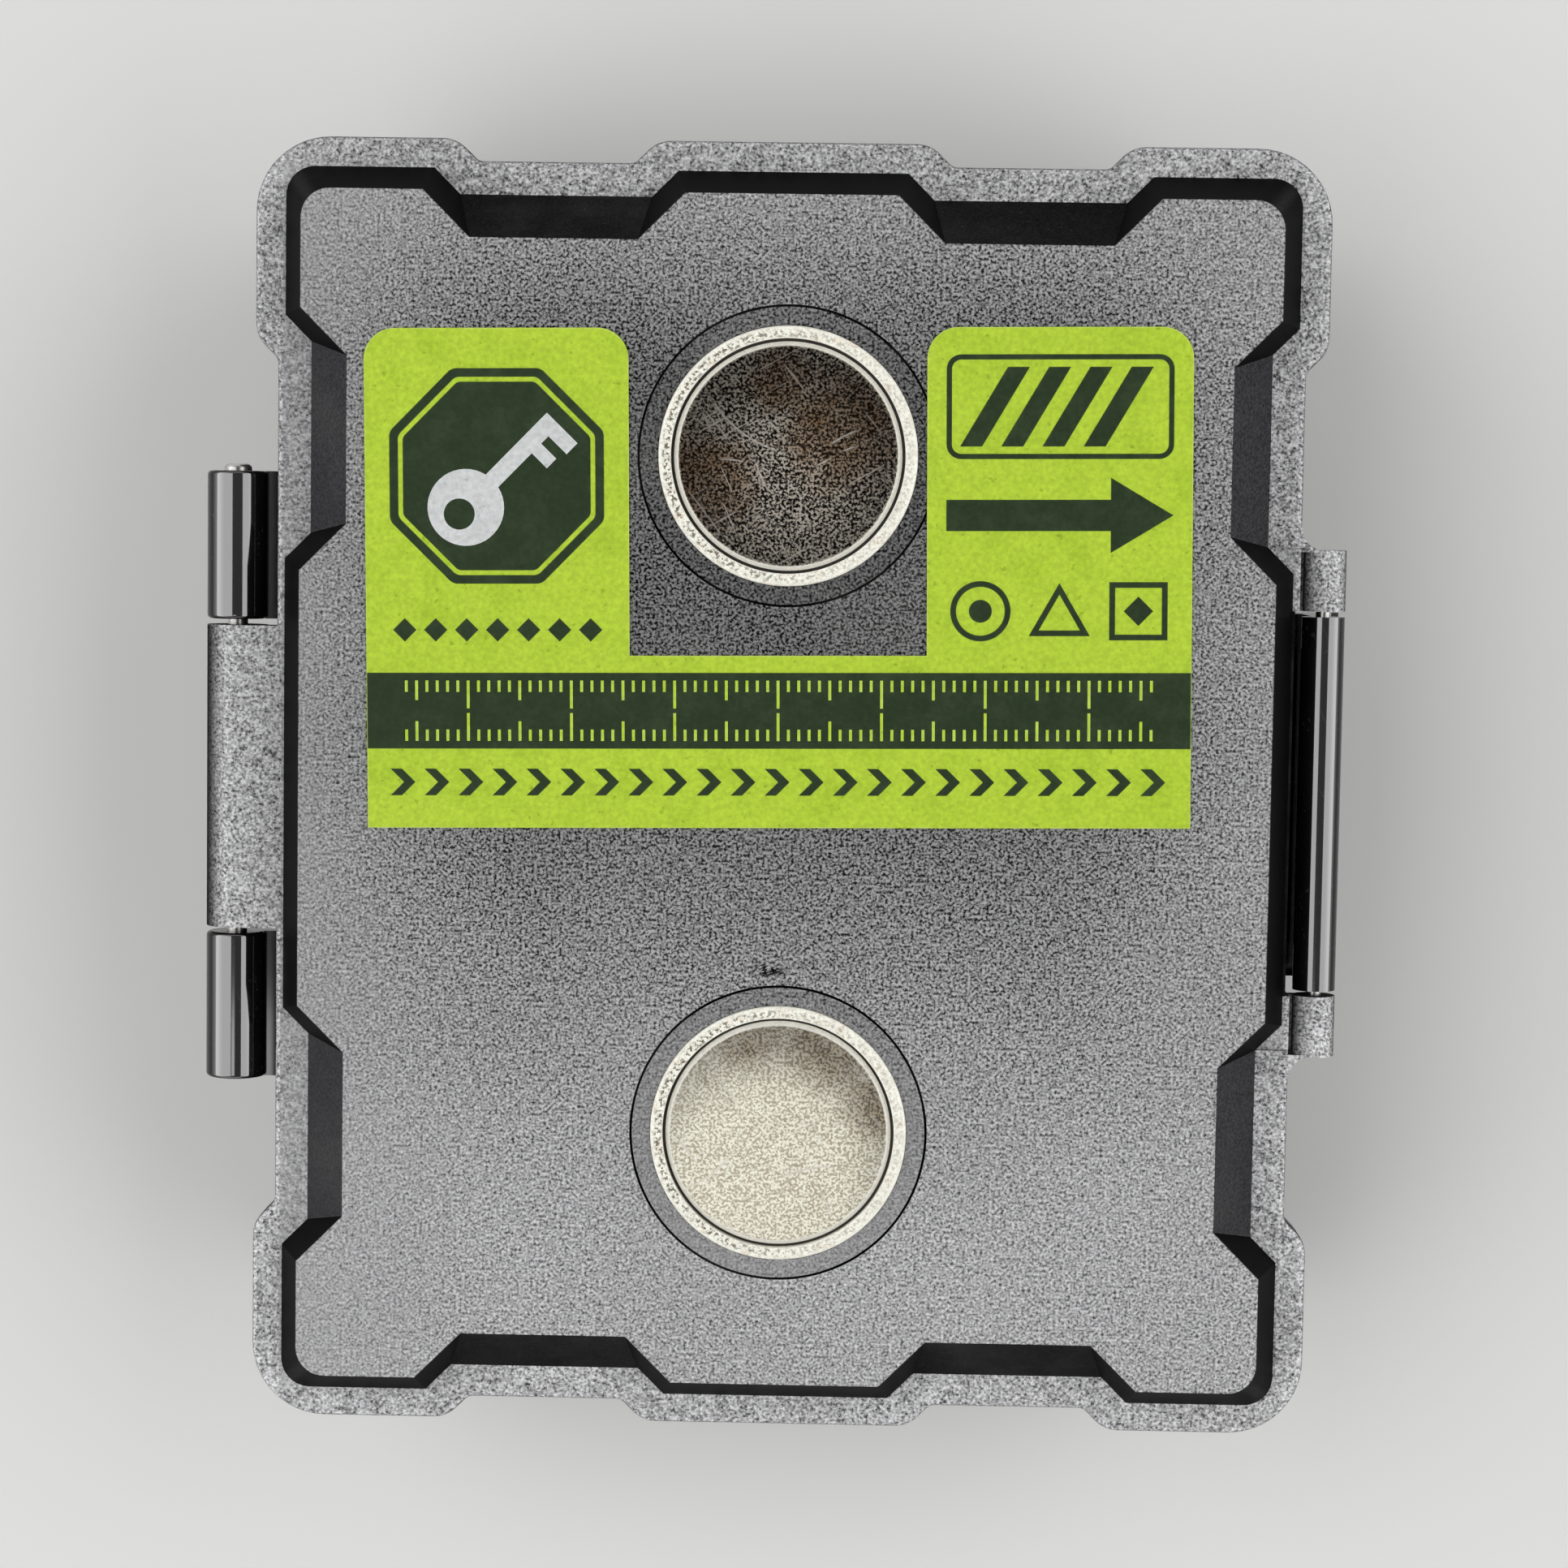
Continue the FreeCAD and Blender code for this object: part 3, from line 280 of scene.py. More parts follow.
    def stretch(self, vector: Source, scale: tuple, turn: float = 0.0) -> Socket:
        """Scales a place unevenly after a turn about the upward axis.

        Args:
            vector: The place.
            scale: Scale along each axis.
            turn: The turn in radians.

        Returns:
            The stretched place.
        """
        made = self.node("ShaderNodeMapping", vector_type="TEXTURE")
        shares = tuple(1 / share for share in scale)
        self.feed_all(made, Vector=vector, Rotation=(0, 0, turn), Scale=shares)
        return made.outputs["Vector"]

    def noise(self, vector: Source, scale: Source, detail: float = 2.0, rough: float = 0.5) -> Socket:
        """Adds a cloudy value around one half.

        Args:
            vector: Where it is read.
            scale: How fine it is.
            detail: Number of finer layers.
            rough: Weight of the finer layers.

        Returns:
            The value.
        """
        made = self.node("ShaderNodeTexNoise")
        self.feed_all(made, Vector=vector, Scale=scale, Detail=detail, Roughness=rough)
        return made.outputs["Fac"]

    def cloud(self, cloud: Cloud, vector: Source | None = None) -> Socket:
        """Adds a cloudy mask.

        Args:
            cloud: The mask's noise and range.
            vector: Where it is read; by default the place on the object.

        Returns:
            The mask.
        """
        where = self.place if vector is None else vector
        return self.remap(self.noise(where, cloud.scale, cloud.detail, cloud.rough), cloud.low, cloud.high)

    def length(self, side: Source, ahead: Source) -> Socket:
        """Length of a step on the plan, from its two parts."""
        return self.math("SQRT", self.math("ADD", self.times(side, side), self.times(ahead, ahead)))

    def apart(self, vector: Source, centre: Point) -> Socket:
        """Measures on the plan between a place and an upright line.

        Args:
            vector: The place.
            centre: Where the line stands.

        Returns:
            The distance.
        """
        across, along, _up = self.split(vector)
        return self.length(self.math("SUBTRACT", across, centre[0]), self.math("SUBTRACT", along, centre[1]))

    def bump(self, height: Source, depth: float, strength: float) -> Socket:
        """Bumps the surface.

        Args:
            height: Height from 0 to 1.
            depth: Height of 1 in millimetres.
            strength: Share of the effect.

        Returns:
            The bumped normal.
        """
        made = self.node("ShaderNodeBump")
        self.feed_all(made, Strength=strength, Distance=depth * MM, Height=height)
        return made.outputs["Normal"]

    def group(self, effect: Effect, **inputs: Source) -> dict:
        """Places a shared effect.

        Args:
            effect: Which shared effect.
            inputs: Its inputs by name.

        Returns:
            The effect's outputs by name.
        """
        made = self.node("ShaderNodeGroup", node_tree=bpy.data.node_groups[effect.value])
        self.feed_all(made, **inputs)
        return {socket.name: socket for socket in made.outputs}

    def grain(self, size: float, contrast: Source) -> dict:
        """Places the spark grain, with its outputs Grain and Height."""
        return self.group(Effect.GRAIN, Place=self.place, Size=size, Contrast=contrast)

    def scratches(self, spacing: float, amount: float) -> Socket:
        """Places the fine scratches."""
        return self.group(Effect.SCRATCHES, Place=self.place, Spacing=spacing, Amount=amount)["Scratches"]

    def wear(self, breakup: float, amount: float) -> Socket:
        """Places the edge wear."""
        return self.group(Effect.WEAR, Place=self.place, Breakup=breakup, Amount=amount)["Edge"]

    def dust(self, amount: float) -> Socket:
        """Places the settled dust."""
        return self.group(Effect.DUST, Place=self.place, Facing=self.aim[2], Amount=amount)["Dust"]


@dataclass(frozen=True)
class EffectLibrary:
    """Builds the shared effects once."""

    middle: float = 0.5
    wide_share: float = 0.3
    spark_share: float = 0.8
    spark_range: tuple = (0.66, 0.74)
    scratch_turns: tuple = (0.5, -0.9, 2.0)
    scratch_stretch: tuple = (0.35, 9.0, 9.0)
    scratch_patches: float = 0.7
    scratch_gain: float = 14.0
    bevel_radius: float = 0.2
    bevel_samples: int = 4
    edge_range: tuple = (0.995, 0.90)
    breakup_range: tuple = (0.35, 0.6)
    haze: Cloud = Cloud(0.09, 0.4, 0.75, detail=4.0, rough=0.6)
    specks: Cloud = Cloud(4.5, 0.70, 0.76, detail=1.0)
    level_range: tuple = (0.3, 0.9)

    def build(self) -> None:
        """Makes every shared node group."""
        self.spark_grain()
        self.fine_scratches()
        self.edge_wear()
        self.settled_dust()

    def start(self, effect: Effect, inputs: dict, outputs: tuple) -> tuple:
        """Starts a node group.

        Args:
            effect: Which effect the group makes.
            inputs: Default of each input; None stands for a vector.
            outputs: Names of the value outputs.

        Returns:
            The wiring, the group's inputs by name and its output node.
        """
        tree = bpy.data.node_groups.new(effect.value, "ShaderNodeTree")
        for name, default in inputs.items():
            kind = "NodeSocketVector" if default is None else "NodeSocketFloat"
            socket = tree.interface.new_socket(name=name, in_out="INPUT", socket_type=kind)
            if default is not None:
                socket.default_value = default
        for name in outputs:
            tree.interface.new_socket(name=name, in_out="OUTPUT", socket_type="NodeSocketFloat")
        wiring = Wiring(tree)
        entry = wiring.node("NodeGroupInput")
        ending = wiring.node("NodeGroupOutput")
        return wiring, {socket.name: socket for socket in entry.outputs}, ending

    def spark_grain(self) -> None:
        """The salt-and-pepper grain of a spark-eroded mould."""
        wiring, given, ending = self.start(
            Effect.GRAIN, {"Place": None, "Size": 0.3, "Contrast": 1.0}, ("Grain", "Height"),
        )
        place = given["Place"]
        scale = wiring.math("DIVIDE", 1.0, given["Size"])
        base = wiring.noise(place, scale, detail=1.0, rough=0.6)
        wide = wiring.noise(place, wiring.times(scale, self.wide_share))
        mixed = wiring.linear(wiring.math("SUBTRACT", wide, self.middle), gain=0.2, start=base)
        spark = wiring.remap(wiring.noise(place, wiring.times(scale, self.spark_share)), *self.spark_range)
        speckle = wiring.times(wiring.math("SUBTRACT", mixed, self.middle), 2.6)
        speckle = wiring.linear(spark, gain=0.35, start=speckle)
        spread = wiring.times(speckle, given["Contrast"])
        wiring.feed(ending.inputs["Grain"], wiring.math("ADD", spread, self.middle, clamp=True))
        wiring.feed(ending.inputs["Height"], wiring.math("ADD", speckle, self.middle))

    def fine_scratches(self) -> None:
        """Sparse fine lines in three directions."""
        wiring, given, ending = self.start(
            Effect.SCRATCHES, {"Place": None, "Spacing": 2.0, "Amount": 0.5}, ("Scratches",),
        )
        place = given["Place"]
        scale = wiring.math("DIVIDE", 1.0, given["Spacing"])
        limit = wiring.linear(given["Amount"], gain=-0.10, start=0.92)
        patches = wiring.noise(place, wiring.times(scale, self.scratch_patches), detail=1.0)
        lines = []
        for turn in self.scratch_turns:
            streaks = wiring.noise(wiring.stretch(place, self.scratch_stretch, turn), scale, detail=1.0)
            line = wiring.math("SUBTRACT", wiring.linear(patches, gain=0.35, start=streaks), limit)
            lines.append(wiring.math("MULTIPLY", line, self.scratch_gain, clamp=True))
        wiring.feed(ending.inputs["Scratches"], wiring.greatest(*lines))

    def edge_wear(self) -> None:
        """Marks rubbed edges, where a rounded normal leaves the true one."""
        wiring, given, ending = self.start(
            Effect.WEAR, {"Place": None, "Breakup": 1.0, "Amount": 1.0}, ("Edge",),
        )
        rounded = wiring.node("ShaderNodeBevel", samples=self.bevel_samples)
        rounded.inputs["Radius"].default_value = self.bevel_radius * MM
        true = wiring.node("ShaderNodeNewGeometry").outputs["Normal"]
        agree = wiring.node("ShaderNodeVectorMath", operation="DOT_PRODUCT")
        wiring.feed(agree.inputs[0], rounded.outputs["Normal"])
        wiring.feed(agree.inputs[1], true)
        edge = wiring.remap(agree.outputs["Value"], *self.edge_range)
        broken = wiring.noise(given["Place"], given["Breakup"], detail=3.0, rough=0.6)
        rubbed = wiring.times(edge, wiring.remap(broken, *self.breakup_range), given["Amount"])
        wiring.feed(ending.inputs["Edge"], rubbed)

    def settled_dust(self) -> None:
        """Fine specks and a thin haze on what faces up."""
        wiring, given, ending = self.start(
            Effect.DUST, {"Place": None, "Facing": 1.0, "Amount": 0.3}, ("Dust",),
        )
        haze = wiring.cloud(self.haze, given["Place"])
        both = wiring.linear(haze, gain=0.45, start=wiring.cloud(self.specks, given["Place"]))
        level = wiring.remap(given["Facing"], *self.level_range)
        lying = wiring.math("MULTIPLY", wiring.times(both, level), given["Amount"], clamp=True)
        wiring.feed(ending.inputs["Dust"], lying)


@dataclass(frozen=True)
class Finish:
    """One procedural material. Its relief is the depth in millimetres and the strength of its bumps."""

    name: str
    relief: tuple = (0.02, 0.5)

    def material(self) -> Material:
        """Makes the material.

        Returns:
            The material, with its shader fed by the finish.
        """
        made = bpy.data.materials.new(self.name)
        made.use_nodes = True
        made.node_tree.nodes.clear()
        wiring = Wiring(made.node_tree)
        shader = wiring.node("ShaderNodeBsdfPrincipled")
        output = wiring.node("ShaderNodeOutputMaterial")
        wiring.feed(output.inputs["Surface"], shader.outputs["BSDF"])
        for name, source in self.fill(wiring).items():
            wiring.feed(shader.inputs[name], source)
        return made

    def fill(self, wiring: Wiring) -> dict:
        """Builds the finish's nodes. Each finish has its own.

        Args:
            wiring: The material's wiring.

        Returns:
            Sources for the shader's inputs, by name.
        """
        raise NotImplementedError


@dataclass(frozen=True)
class LidAreas:
    """Masks of the lid's areas.

    Attributes:
        sides: Past the wall's foot to the hinge and the latch.
        flange: Past the wall's foot to any side.
        grained: All that the sparked part of the mould formed.
        ring: The rings of finer grain round the magnets.
        step: The step down of the flange beside an ear.
        painted_dim: The middle of the upper half, darkened as painted shade.
    """

    sides: Source
    flange: Source
    grained: Source
    ring: Source
    step: Source
    painted_dim: Source


@dataclass(frozen=True)
class LidPlastic(Finish):
    """Black plastic, grained where the mould was sparked and smooth on the leaning walls; its colour carries
    painted sheen, light and shade.
    """

    relief: tuple = (0.03, 0.5)
    wall_foot_x: float = 49.5
    wall_foot_y: float = 60.5
    foot_margin: float = 0.25
    flange_top: float = 36.0
    floor_margin: float = 0.4
    step_height: float = 35.65
    step_margin: float = 0.12
    # The strip behind the latch takes the dark wall tone as painted shade.
    latch_room: tuple = (-19.4, 18.6)
    latch_strip: float = 49.65
    latch_strip_half: float = 0.5
    latch_strip_top: float = 36.3
    magnet_y: float = 32.9
    ring_radius: float = 14.4
    ring_line: float = 0.12
    scuff: Point = (-0.7, -25.4)
    scuff_stretch: tuple = (0.55, 1.5, 1.0)
    scuff_reach: tuple = (1.3, 0.4)
    scuff_breaks: tuple = (0.6, 1.6, 1.0)
    scuff_turn: float = 0.3
    scuff_cloud: Cloud = Cloud(2.4, 0.44, 0.52, detail=3.0)
    underside: tuple = (-0.7, -0.4)
    level: tuple = (0.72, 0.88)
    flat: tuple = (0.9, 0.99)
    marked_face: tuple = (0.5, 0.8)
    wall_notch: tuple = (0.47, 0.56)
    upright: tuple = (0.25, 0.05)
    sideways: tuple = (0.3, 0.7)
    # Where the middle is darkened as painted shade.
    painted_dim_across: tuple = (56.0, 22.0)
    painted_dim_below: tuple = (-42.0, 12.0)
    painted_dim_above: tuple = (63.0, 38.0)
    painted_dim_fade: float = 0.78
    # Where the painted light towards the free end starts and ends.
    painted_light_end: tuple = (20.0, -62.0)
    grain_size: float = 0.28
    grain_across: tuple = (-50.0, -25.0)
    grain_contrast: tuple = (0.5, 0.82)
    flange_contrast: float = 0.8
    # Painted shade on flanks facing away and on the hinge knuckle's outer side.
    painted_shading: tuple = (0.15, 0.96)
    painted_flank_darkest: float = 0.1
    painted_hinge_shade: tuple = (-57.5, -54.9)
    painted_hinge_darkest: float = 0.06
    # The grain's grey is partly its own and partly painted sheen on the black plastic.
    pit: Colour = colour(58, 58, 59)
    peak: Colour = colour(226, 226, 227)
    # Pit and peak of the grain in the middle darkened as painted shade.
    painted_dim_pit: Colour = colour(8, 8, 8)
    painted_dim_peak: Colour = colour(255, 255, 255)
    # Wall tones by lean and side are painted shade and painted light; wall_dark also colours the marks.
    wall_dark: Colour = colour(2, 2, 2)
    wall_end: Colour = colour(22, 22, 23)
    wall_side: Colour = colour(56, 56, 58)
    wall_pad: Colour = colour(9, 9, 9)
    inside: Colour = colour(24, 24, 25)
    dusty: Colour = colour(190, 188, 182)
    worn: Colour = colour(206, 206, 206)

    def fill(self, wiring: Wiring) -> dict:
        """Grain on the face, flange, knuckle and ears, and smooth dark walls.

        Args:
            wiring: The material's wiring.

        Returns:
            Sources for the shader's inputs, by name.
        """
        areas = self.areas(wiring)
        grain = wiring.grain(self.grain_size, self.contrast(wiring, areas))
        tone = self.grained_tone(wiring, areas, grain["Grain"])
        walls = wiring.shade(self.painted_wall_tone(wiring), grain["Grain"], gain=0.9, start=0.55)
        tint = wiring.mix(areas.grained, walls, tone)
        tint = wiring.mix(wiring.dust(amount=0.12), tint, self.dusty)
        rubbed = wiring.times(wiring.wear(breakup=0.7, amount=0.35), areas.flange)
        tint = wiring.mix(rubbed, tint, self.worn)
        height = wiring.times(grain["Height"], wiring.linear(areas.grained, gain=0.85, start=0.15))
        return {
            "Base Color": tint,
            "Roughness": wiring.linear(areas.grained, gain=0.15, start=0.5),
            "Specular IOR Level": 0.02,
            "Normal": wiring.bump(height, *self.relief),
        }

    def areas(self, wiring: Wiring) -> LidAreas:
        """Marks the lid's areas.

        Args:
            wiring: The material's wiring.

        Returns:
            Their masks.
        """
        across, along, up = wiring.axes
        facing = wiring.aim[2]
        sides = self.past(wiring, across, self.wall_foot_x)
        flange = wiring.greatest(sides, self.past(wiring, along, self.wall_foot_y))
        flange = wiring.times(flange, wiring.remap(facing, *self.underside))
        grained = wiring.greatest(wiring.remap(facing, *self.level), flange)
        grained = wiring.math("SUBTRACT", grained, self.latch_strip_painted_shade(wiring), clamp=True)
        at_step = wiring.math("COMPARE", up, self.step_height, self.step_margin)
        step = wiring.times(at_step, wiring.remap(facing, *self.flat))
        # The middle of the upper half is darkened as painted shade.
        painted_dim = wiring.times(
            wiring.remap(wiring.math("ABSOLUTE", across), *self.painted_dim_across),
            wiring.remap(along, *self.painted_dim_below), wiring.remap(along, *self.painted_dim_above),
        )
        rings = [wiring.math("LESS_THAN", away, self.ring_radius) for away in self.from_magnets(wiring)]
        return LidAreas(sides, flange, grained, wiring.greatest(*rings), step, painted_dim)

    def past(self, wiring: Wiring, side: Source, foot: float) -> Socket:
        """Marks what lies past the wall's foot on either side."""
        return wiring.math("GREATER_THAN", wiring.math("ABSOLUTE", side), foot + self.foot_margin)

    def latch_strip_painted_shade(self, wiring: Wiring) -> Source:
        """Marks the narrow strip between the wall's foot and the latch, which isn't grained and takes the
        dark wall tone as painted shade.

        Args:
            wiring: The material's wiring.

        Returns:
            The mask.
        """
        across, along, up = wiring.axes
        low, high = self.latch_room
        strip = wiring.math("COMPARE", across, self.latch_strip, self.latch_strip_half)
        reach = wiring.math("COMPARE", along, (low + high) / 2, (high - low) / 2)
        return wiring.times(strip, reach, wiring.math("LESS_THAN", up, self.latch_strip_top))

    def from_magnets(self, wiring: Wiring) -> list[Socket]:
        """Distances on the plan from either magnet's axis."""
        return [wiring.apart(wiring.place, (0.0, y)) for y in (self.magnet_y, -self.magnet_y)]

    def contrast(self, wiring: Wiring, areas: LidAreas) -> Source:
        """Sets how strong the grain is: most in the middle darkened as painted shade, less by the hinge and
        in the rings.

        Args:
            wiring: The material's wiring.
            areas: The lid's areas.

        Returns:
            The contrast.
        """
        contrast = wiring.remap(wiring.axes[0], *self.grain_across, *self.grain_contrast)
        contrast = wiring.linear(areas.painted_dim, gain=0.9, start=contrast)
        calm = wiring.greatest(areas.ring, areas.step)
        contrast = wiring.linear(calm, gain=-0.29, start=contrast)
        return wiring.greatest(contrast, wiring.times(areas.flange, self.flange_contrast))

    def grained_tone(self, wiring: Wiring, areas: LidAreas, grain: Socket) -> Socket:
        """Colours the grained areas, with painted sheen, light and shade.

        Args:
            wiring: The material's wiring.
            areas: The lid's areas.
            grain: The grain.

        Returns:
            The colour.
        """
        pit = wiring.mix(areas.painted_dim, self.pit, self.painted_dim_pit)
        peak = wiring.mix(areas.painted_dim, self.peak, self.painted_dim_peak)
        # Painted light on the flange and its sides.
        painted_flange_light = wiring.linear(areas.flange, gain=0.2, start=1.0)
        painted_flange_light = wiring.linear(areas.sides, gain=0.25, start=painted_flange_light)
        # Painted shade on flanks facing away and by the hinge, and painted light on the notch floors.
        painted_shading = wiring.times(
            wiring.remap(wiring.aim[2], *self.painted_shading, self.painted_flank_darkest, 1.0), painted_flange_light,
            wiring.remap(wiring.axes[0], *self.painted_hinge_shade, self.painted_hinge_darkest, 1.0),
            self.painted_notch_light(wiring, areas.flange),
        )
        shade = wiring.times(self.tone_and_painted_shade(wiring, areas), painted_shading)
        tone = wiring.shade(wiring.mix(grain, pit, peak), shade)
        return wiring.mix(self.marks(wiring), tone, self.wall_dark)

    def painted_notch_light(self, wiring: Wiring, flange: Source) -> Socket:
        """Lightens the flange where it runs into the wall notches: painted light against the shade of the
        walls.

        Args:
            wiring: The material's wiring.
            flange: Mask of the flange past the wall's foot.

        Returns:
            The factor for the shade.
        """
        low = wiring.math("LESS_THAN", wiring.axes[2], self.flange_top + self.floor_margin)
        inside = wiring.times(low, wiring.math("SUBTRACT", 1.0, flange))
        return wiring.linear(inside, gain=0.28, start=1.0)

    def tone_and_painted_shade(self, wiring: Wiring, areas: LidAreas) -> Source:
        """Slow changes of tone: random clouds, painted shade in the middle and painted light towards the
        free end.

        Args:
            wiring: The material's wiring.
            areas: The lid's areas.

        Returns:
            The factor for the shade.
        """
        cloud = wiring.noise(wiring.place, scale=0.05, detail=3.0, rough=0.55)
        # Painted light towards the free end.
        pale = wiring.remap(wiring.axes[1], *self.painted_light_end)
        shade = wiring.linear(pale, gain=0.125, start=0.86)
        shade = wiring.linear(wiring.math("SUBTRACT", cloud, 0.5), gain=0.21, start=shade)
        shade = wiring.linear(areas.step, gain=0.11, start=shade)
        # Painted shade dims the middle.
        painted_dim = wiring.math("POWER", areas.painted_dim, self.painted_dim_fade)
        dimmed = wiring.linear(painted_dim, gain=-0.72, start=1.0)
        return wiring.times(shade, dimmed, wiring.linear(areas.ring, gain=-0.24, start=1.0))

    def marks(self, wiring: Wiring) -> Source:
        """Marks the fine cut rings and one small scuff beside the lower magnet.

        Args:
            wiring: The material's wiring.

        Returns:
            The mask.
        """
        lines = [
            wiring.math("COMPARE", away, self.ring_radius, self.ring_line)
            for away in self.from_magnets(wiring)
        ]
        near = wiring.apart(wiring.stretch(wiring.place, self.scuff_stretch), self.scuff)
        broken = wiring.stretch(wiring.place, self.scuff_breaks, self.scuff_turn)
        rubbed = wiring.cloud(self.scuff_cloud, broken)
        scuffed = wiring.times(wiring.remap(near, *self.scuff_reach), rubbed)
        return wiring.times(wiring.greatest(*lines, scuffed), wiring.remap(wiring.aim[2], *self.marked_face))

    def painted_wall_tone(self, wiring: Wiring) -> Socket:
        """Colours the smooth walls by their lean and side, as painted shade on the pads and painted light on
        the notch walls, and the lid's inside.

        Args:
            wiring: The material's wiring.

        Returns:
            The colour.
        """
        across, _along, facing = wiring.aim
        # Lighter where the wall faces more up or more to the side: painted light and shade.
        sideways = wiring.remap(wiring.math("ABSOLUTE", across), *self.sideways)
        pads = wiring.mix(sideways, self.wall_dark, self.wall_pad)
        notches = wiring.mix(sideways, self.wall_end, self.wall_side)
        walls = wiring.mix(wiring.remap(facing, *self.wall_notch), pads, notches)
        return wiring.mix(wiring.remap(facing, *self.upright), walls, self.inside)


@dataclass(frozen=True)
class SmoothPlastic(Finish):
    """Glossy black plastic, with polished barrels and slightly duller walls."""

    relief: tuple = (0.03, 0.5)
    barrel_x: float = 51.0
    barrel_blend: float = 0.4
    barrel_crown: tuple = (0.68, 0.86)
    wall_rough: float = 0.2
    barrel_rough: float = 0.12
    base: Colour = colour(13, 13, 14)
    scratched: Colour = colour(120, 120, 122)
    rubbed: Colour = colour(96, 96, 98)
    dusty: Colour = colour(150, 148, 142)

    def fill(self, wiring: Wiring) -> dict:
        """Gloss, faint flow marks, scratches and rubbed edges.

        Args:
            wiring: The material's wiring.

        Returns:
            Sources for the shader's inputs, by name.
        """
        across = wiring.math("ABSOLUTE", wiring.axes[0])
        barrel = wiring.remap(across, self.barrel_x - self.barrel_blend, self.barrel_x + self.barrel_blend)
        grain = wiring.grain(size=0.35, contrast=0.5)
        lines = wiring.scratches(spacing=3.0, amount=0.2)
        tint = wiring.shade(self.base, grain["Grain"], gain=0.5, start=0.75)
        tint = wiring.mix(lines, tint, self.scratched, share=0.14)
        tint = wiring.mix(wiring.wear(breakup=0.8, amount=0.4), tint, self.rubbed)
        tint = wiring.mix(wiring.dust(amount=0.04), tint, self.dusty)
        rough = wiring.linear(barrel, self.barrel_rough - self.wall_rough, self.wall_rough)
        waves = wiring.noise(wiring.place, scale=0.9, detail=4.0, rough=0.62)
        height = wiring.linear(grain["Height"], gain=0.25, start=waves)
        return {
            "Base Color": tint,
            "Roughness": wiring.linear(lines, gain=0.25, start=rough),
            "Specular IOR Level": 0.2,
            "Coat Weight": wiring.times(barrel, wiring.remap(wiring.aim[2], *self.barrel_crown)),
            "Coat IOR": 2.8,
            "Coat Roughness": 0.07,
            "Normal": wiring.bump(height, *self.relief),
        }


@dataclass(frozen=True)
class DividerPlastic(Finish):
    """Satin black sheet plastic."""

    base: Colour = colour(44, 44, 46)
    scratched: Colour = colour(120, 120, 120)

    def fill(self, wiring: Wiring) -> dict:
        """A fine even texture with faint scratches.

        Args:
            wiring: The material's wiring.

        Returns:
            Sources for the shader's inputs, by name.
        """
        grain = wiring.grain(size=0.4, contrast=0.8)
        lines = wiring.scratches(spacing=3.5, amount=0.5)
        tint = wiring.shade(self.base, grain["Grain"], gain=0.6, start=0.7)
        return {
            "Base Color": wiring.mix(lines, tint, self.scratched, share=0.3),
            "Roughness": wiring.linear(grain["Grain"], gain=0.2, start=0.42),
            "Normal": wiring.bump(grain["Height"], *self.relief),
        }


@dataclass(frozen=True)
class SoftRubber(Finish):
    """Matte rubber with a bloom of talc."""

    relief: tuple = (0.02, 0.4)
    bloom: Cloud = Cloud(0.35, 0.4, 0.7, detail=4.0, rough=0.6)
    base: Colour = colour(28, 28, 29)
    talc: Colour = colour(84, 83, 80)

    def fill(self, wiring: Wiring) -> dict:
        """Soft mottling and a high roughness.

        Args:
            wiring: The material's wiring.

        Returns:
            Sources for the shader's inputs, by name.
        """
        fine = wiring.noise(wiring.place, scale=6.0)
        return {
            "Base Color": wiring.mix(wiring.cloud(self.bloom), self.base, self.talc, share=0.35),
            "Roughness": wiring.linear(fine, gain=0.25, start=0.62),
            "Normal": wiring.bump(fine, *self.relief),
        }


@dataclass(frozen=True)
class CastResin(Finish):
    """Dark potting resin, slightly wavy."""

    relief: tuple = (0.05, 0.5)
    base: Colour = colour(24, 22, 20)
    milky: Colour = colour(56, 50, 44)

    def fill(self, wiring: Wiring) -> dict:
        """Uneven gloss over a dark body.

        Args:
            wiring: The material's wiring.

        Returns:
            Sources for the shader's inputs, by name.
        """
        waves = wiring.noise(wiring.place, scale=1.4, detail=3.0)
        return {
            "Base Color": wiring.mix(waves, self.base, self.milky),
            "Roughness": wiring.linear(waves, gain=0.4, start=0.25),
            "Normal": wiring.bump(waves, *self.relief),
        }


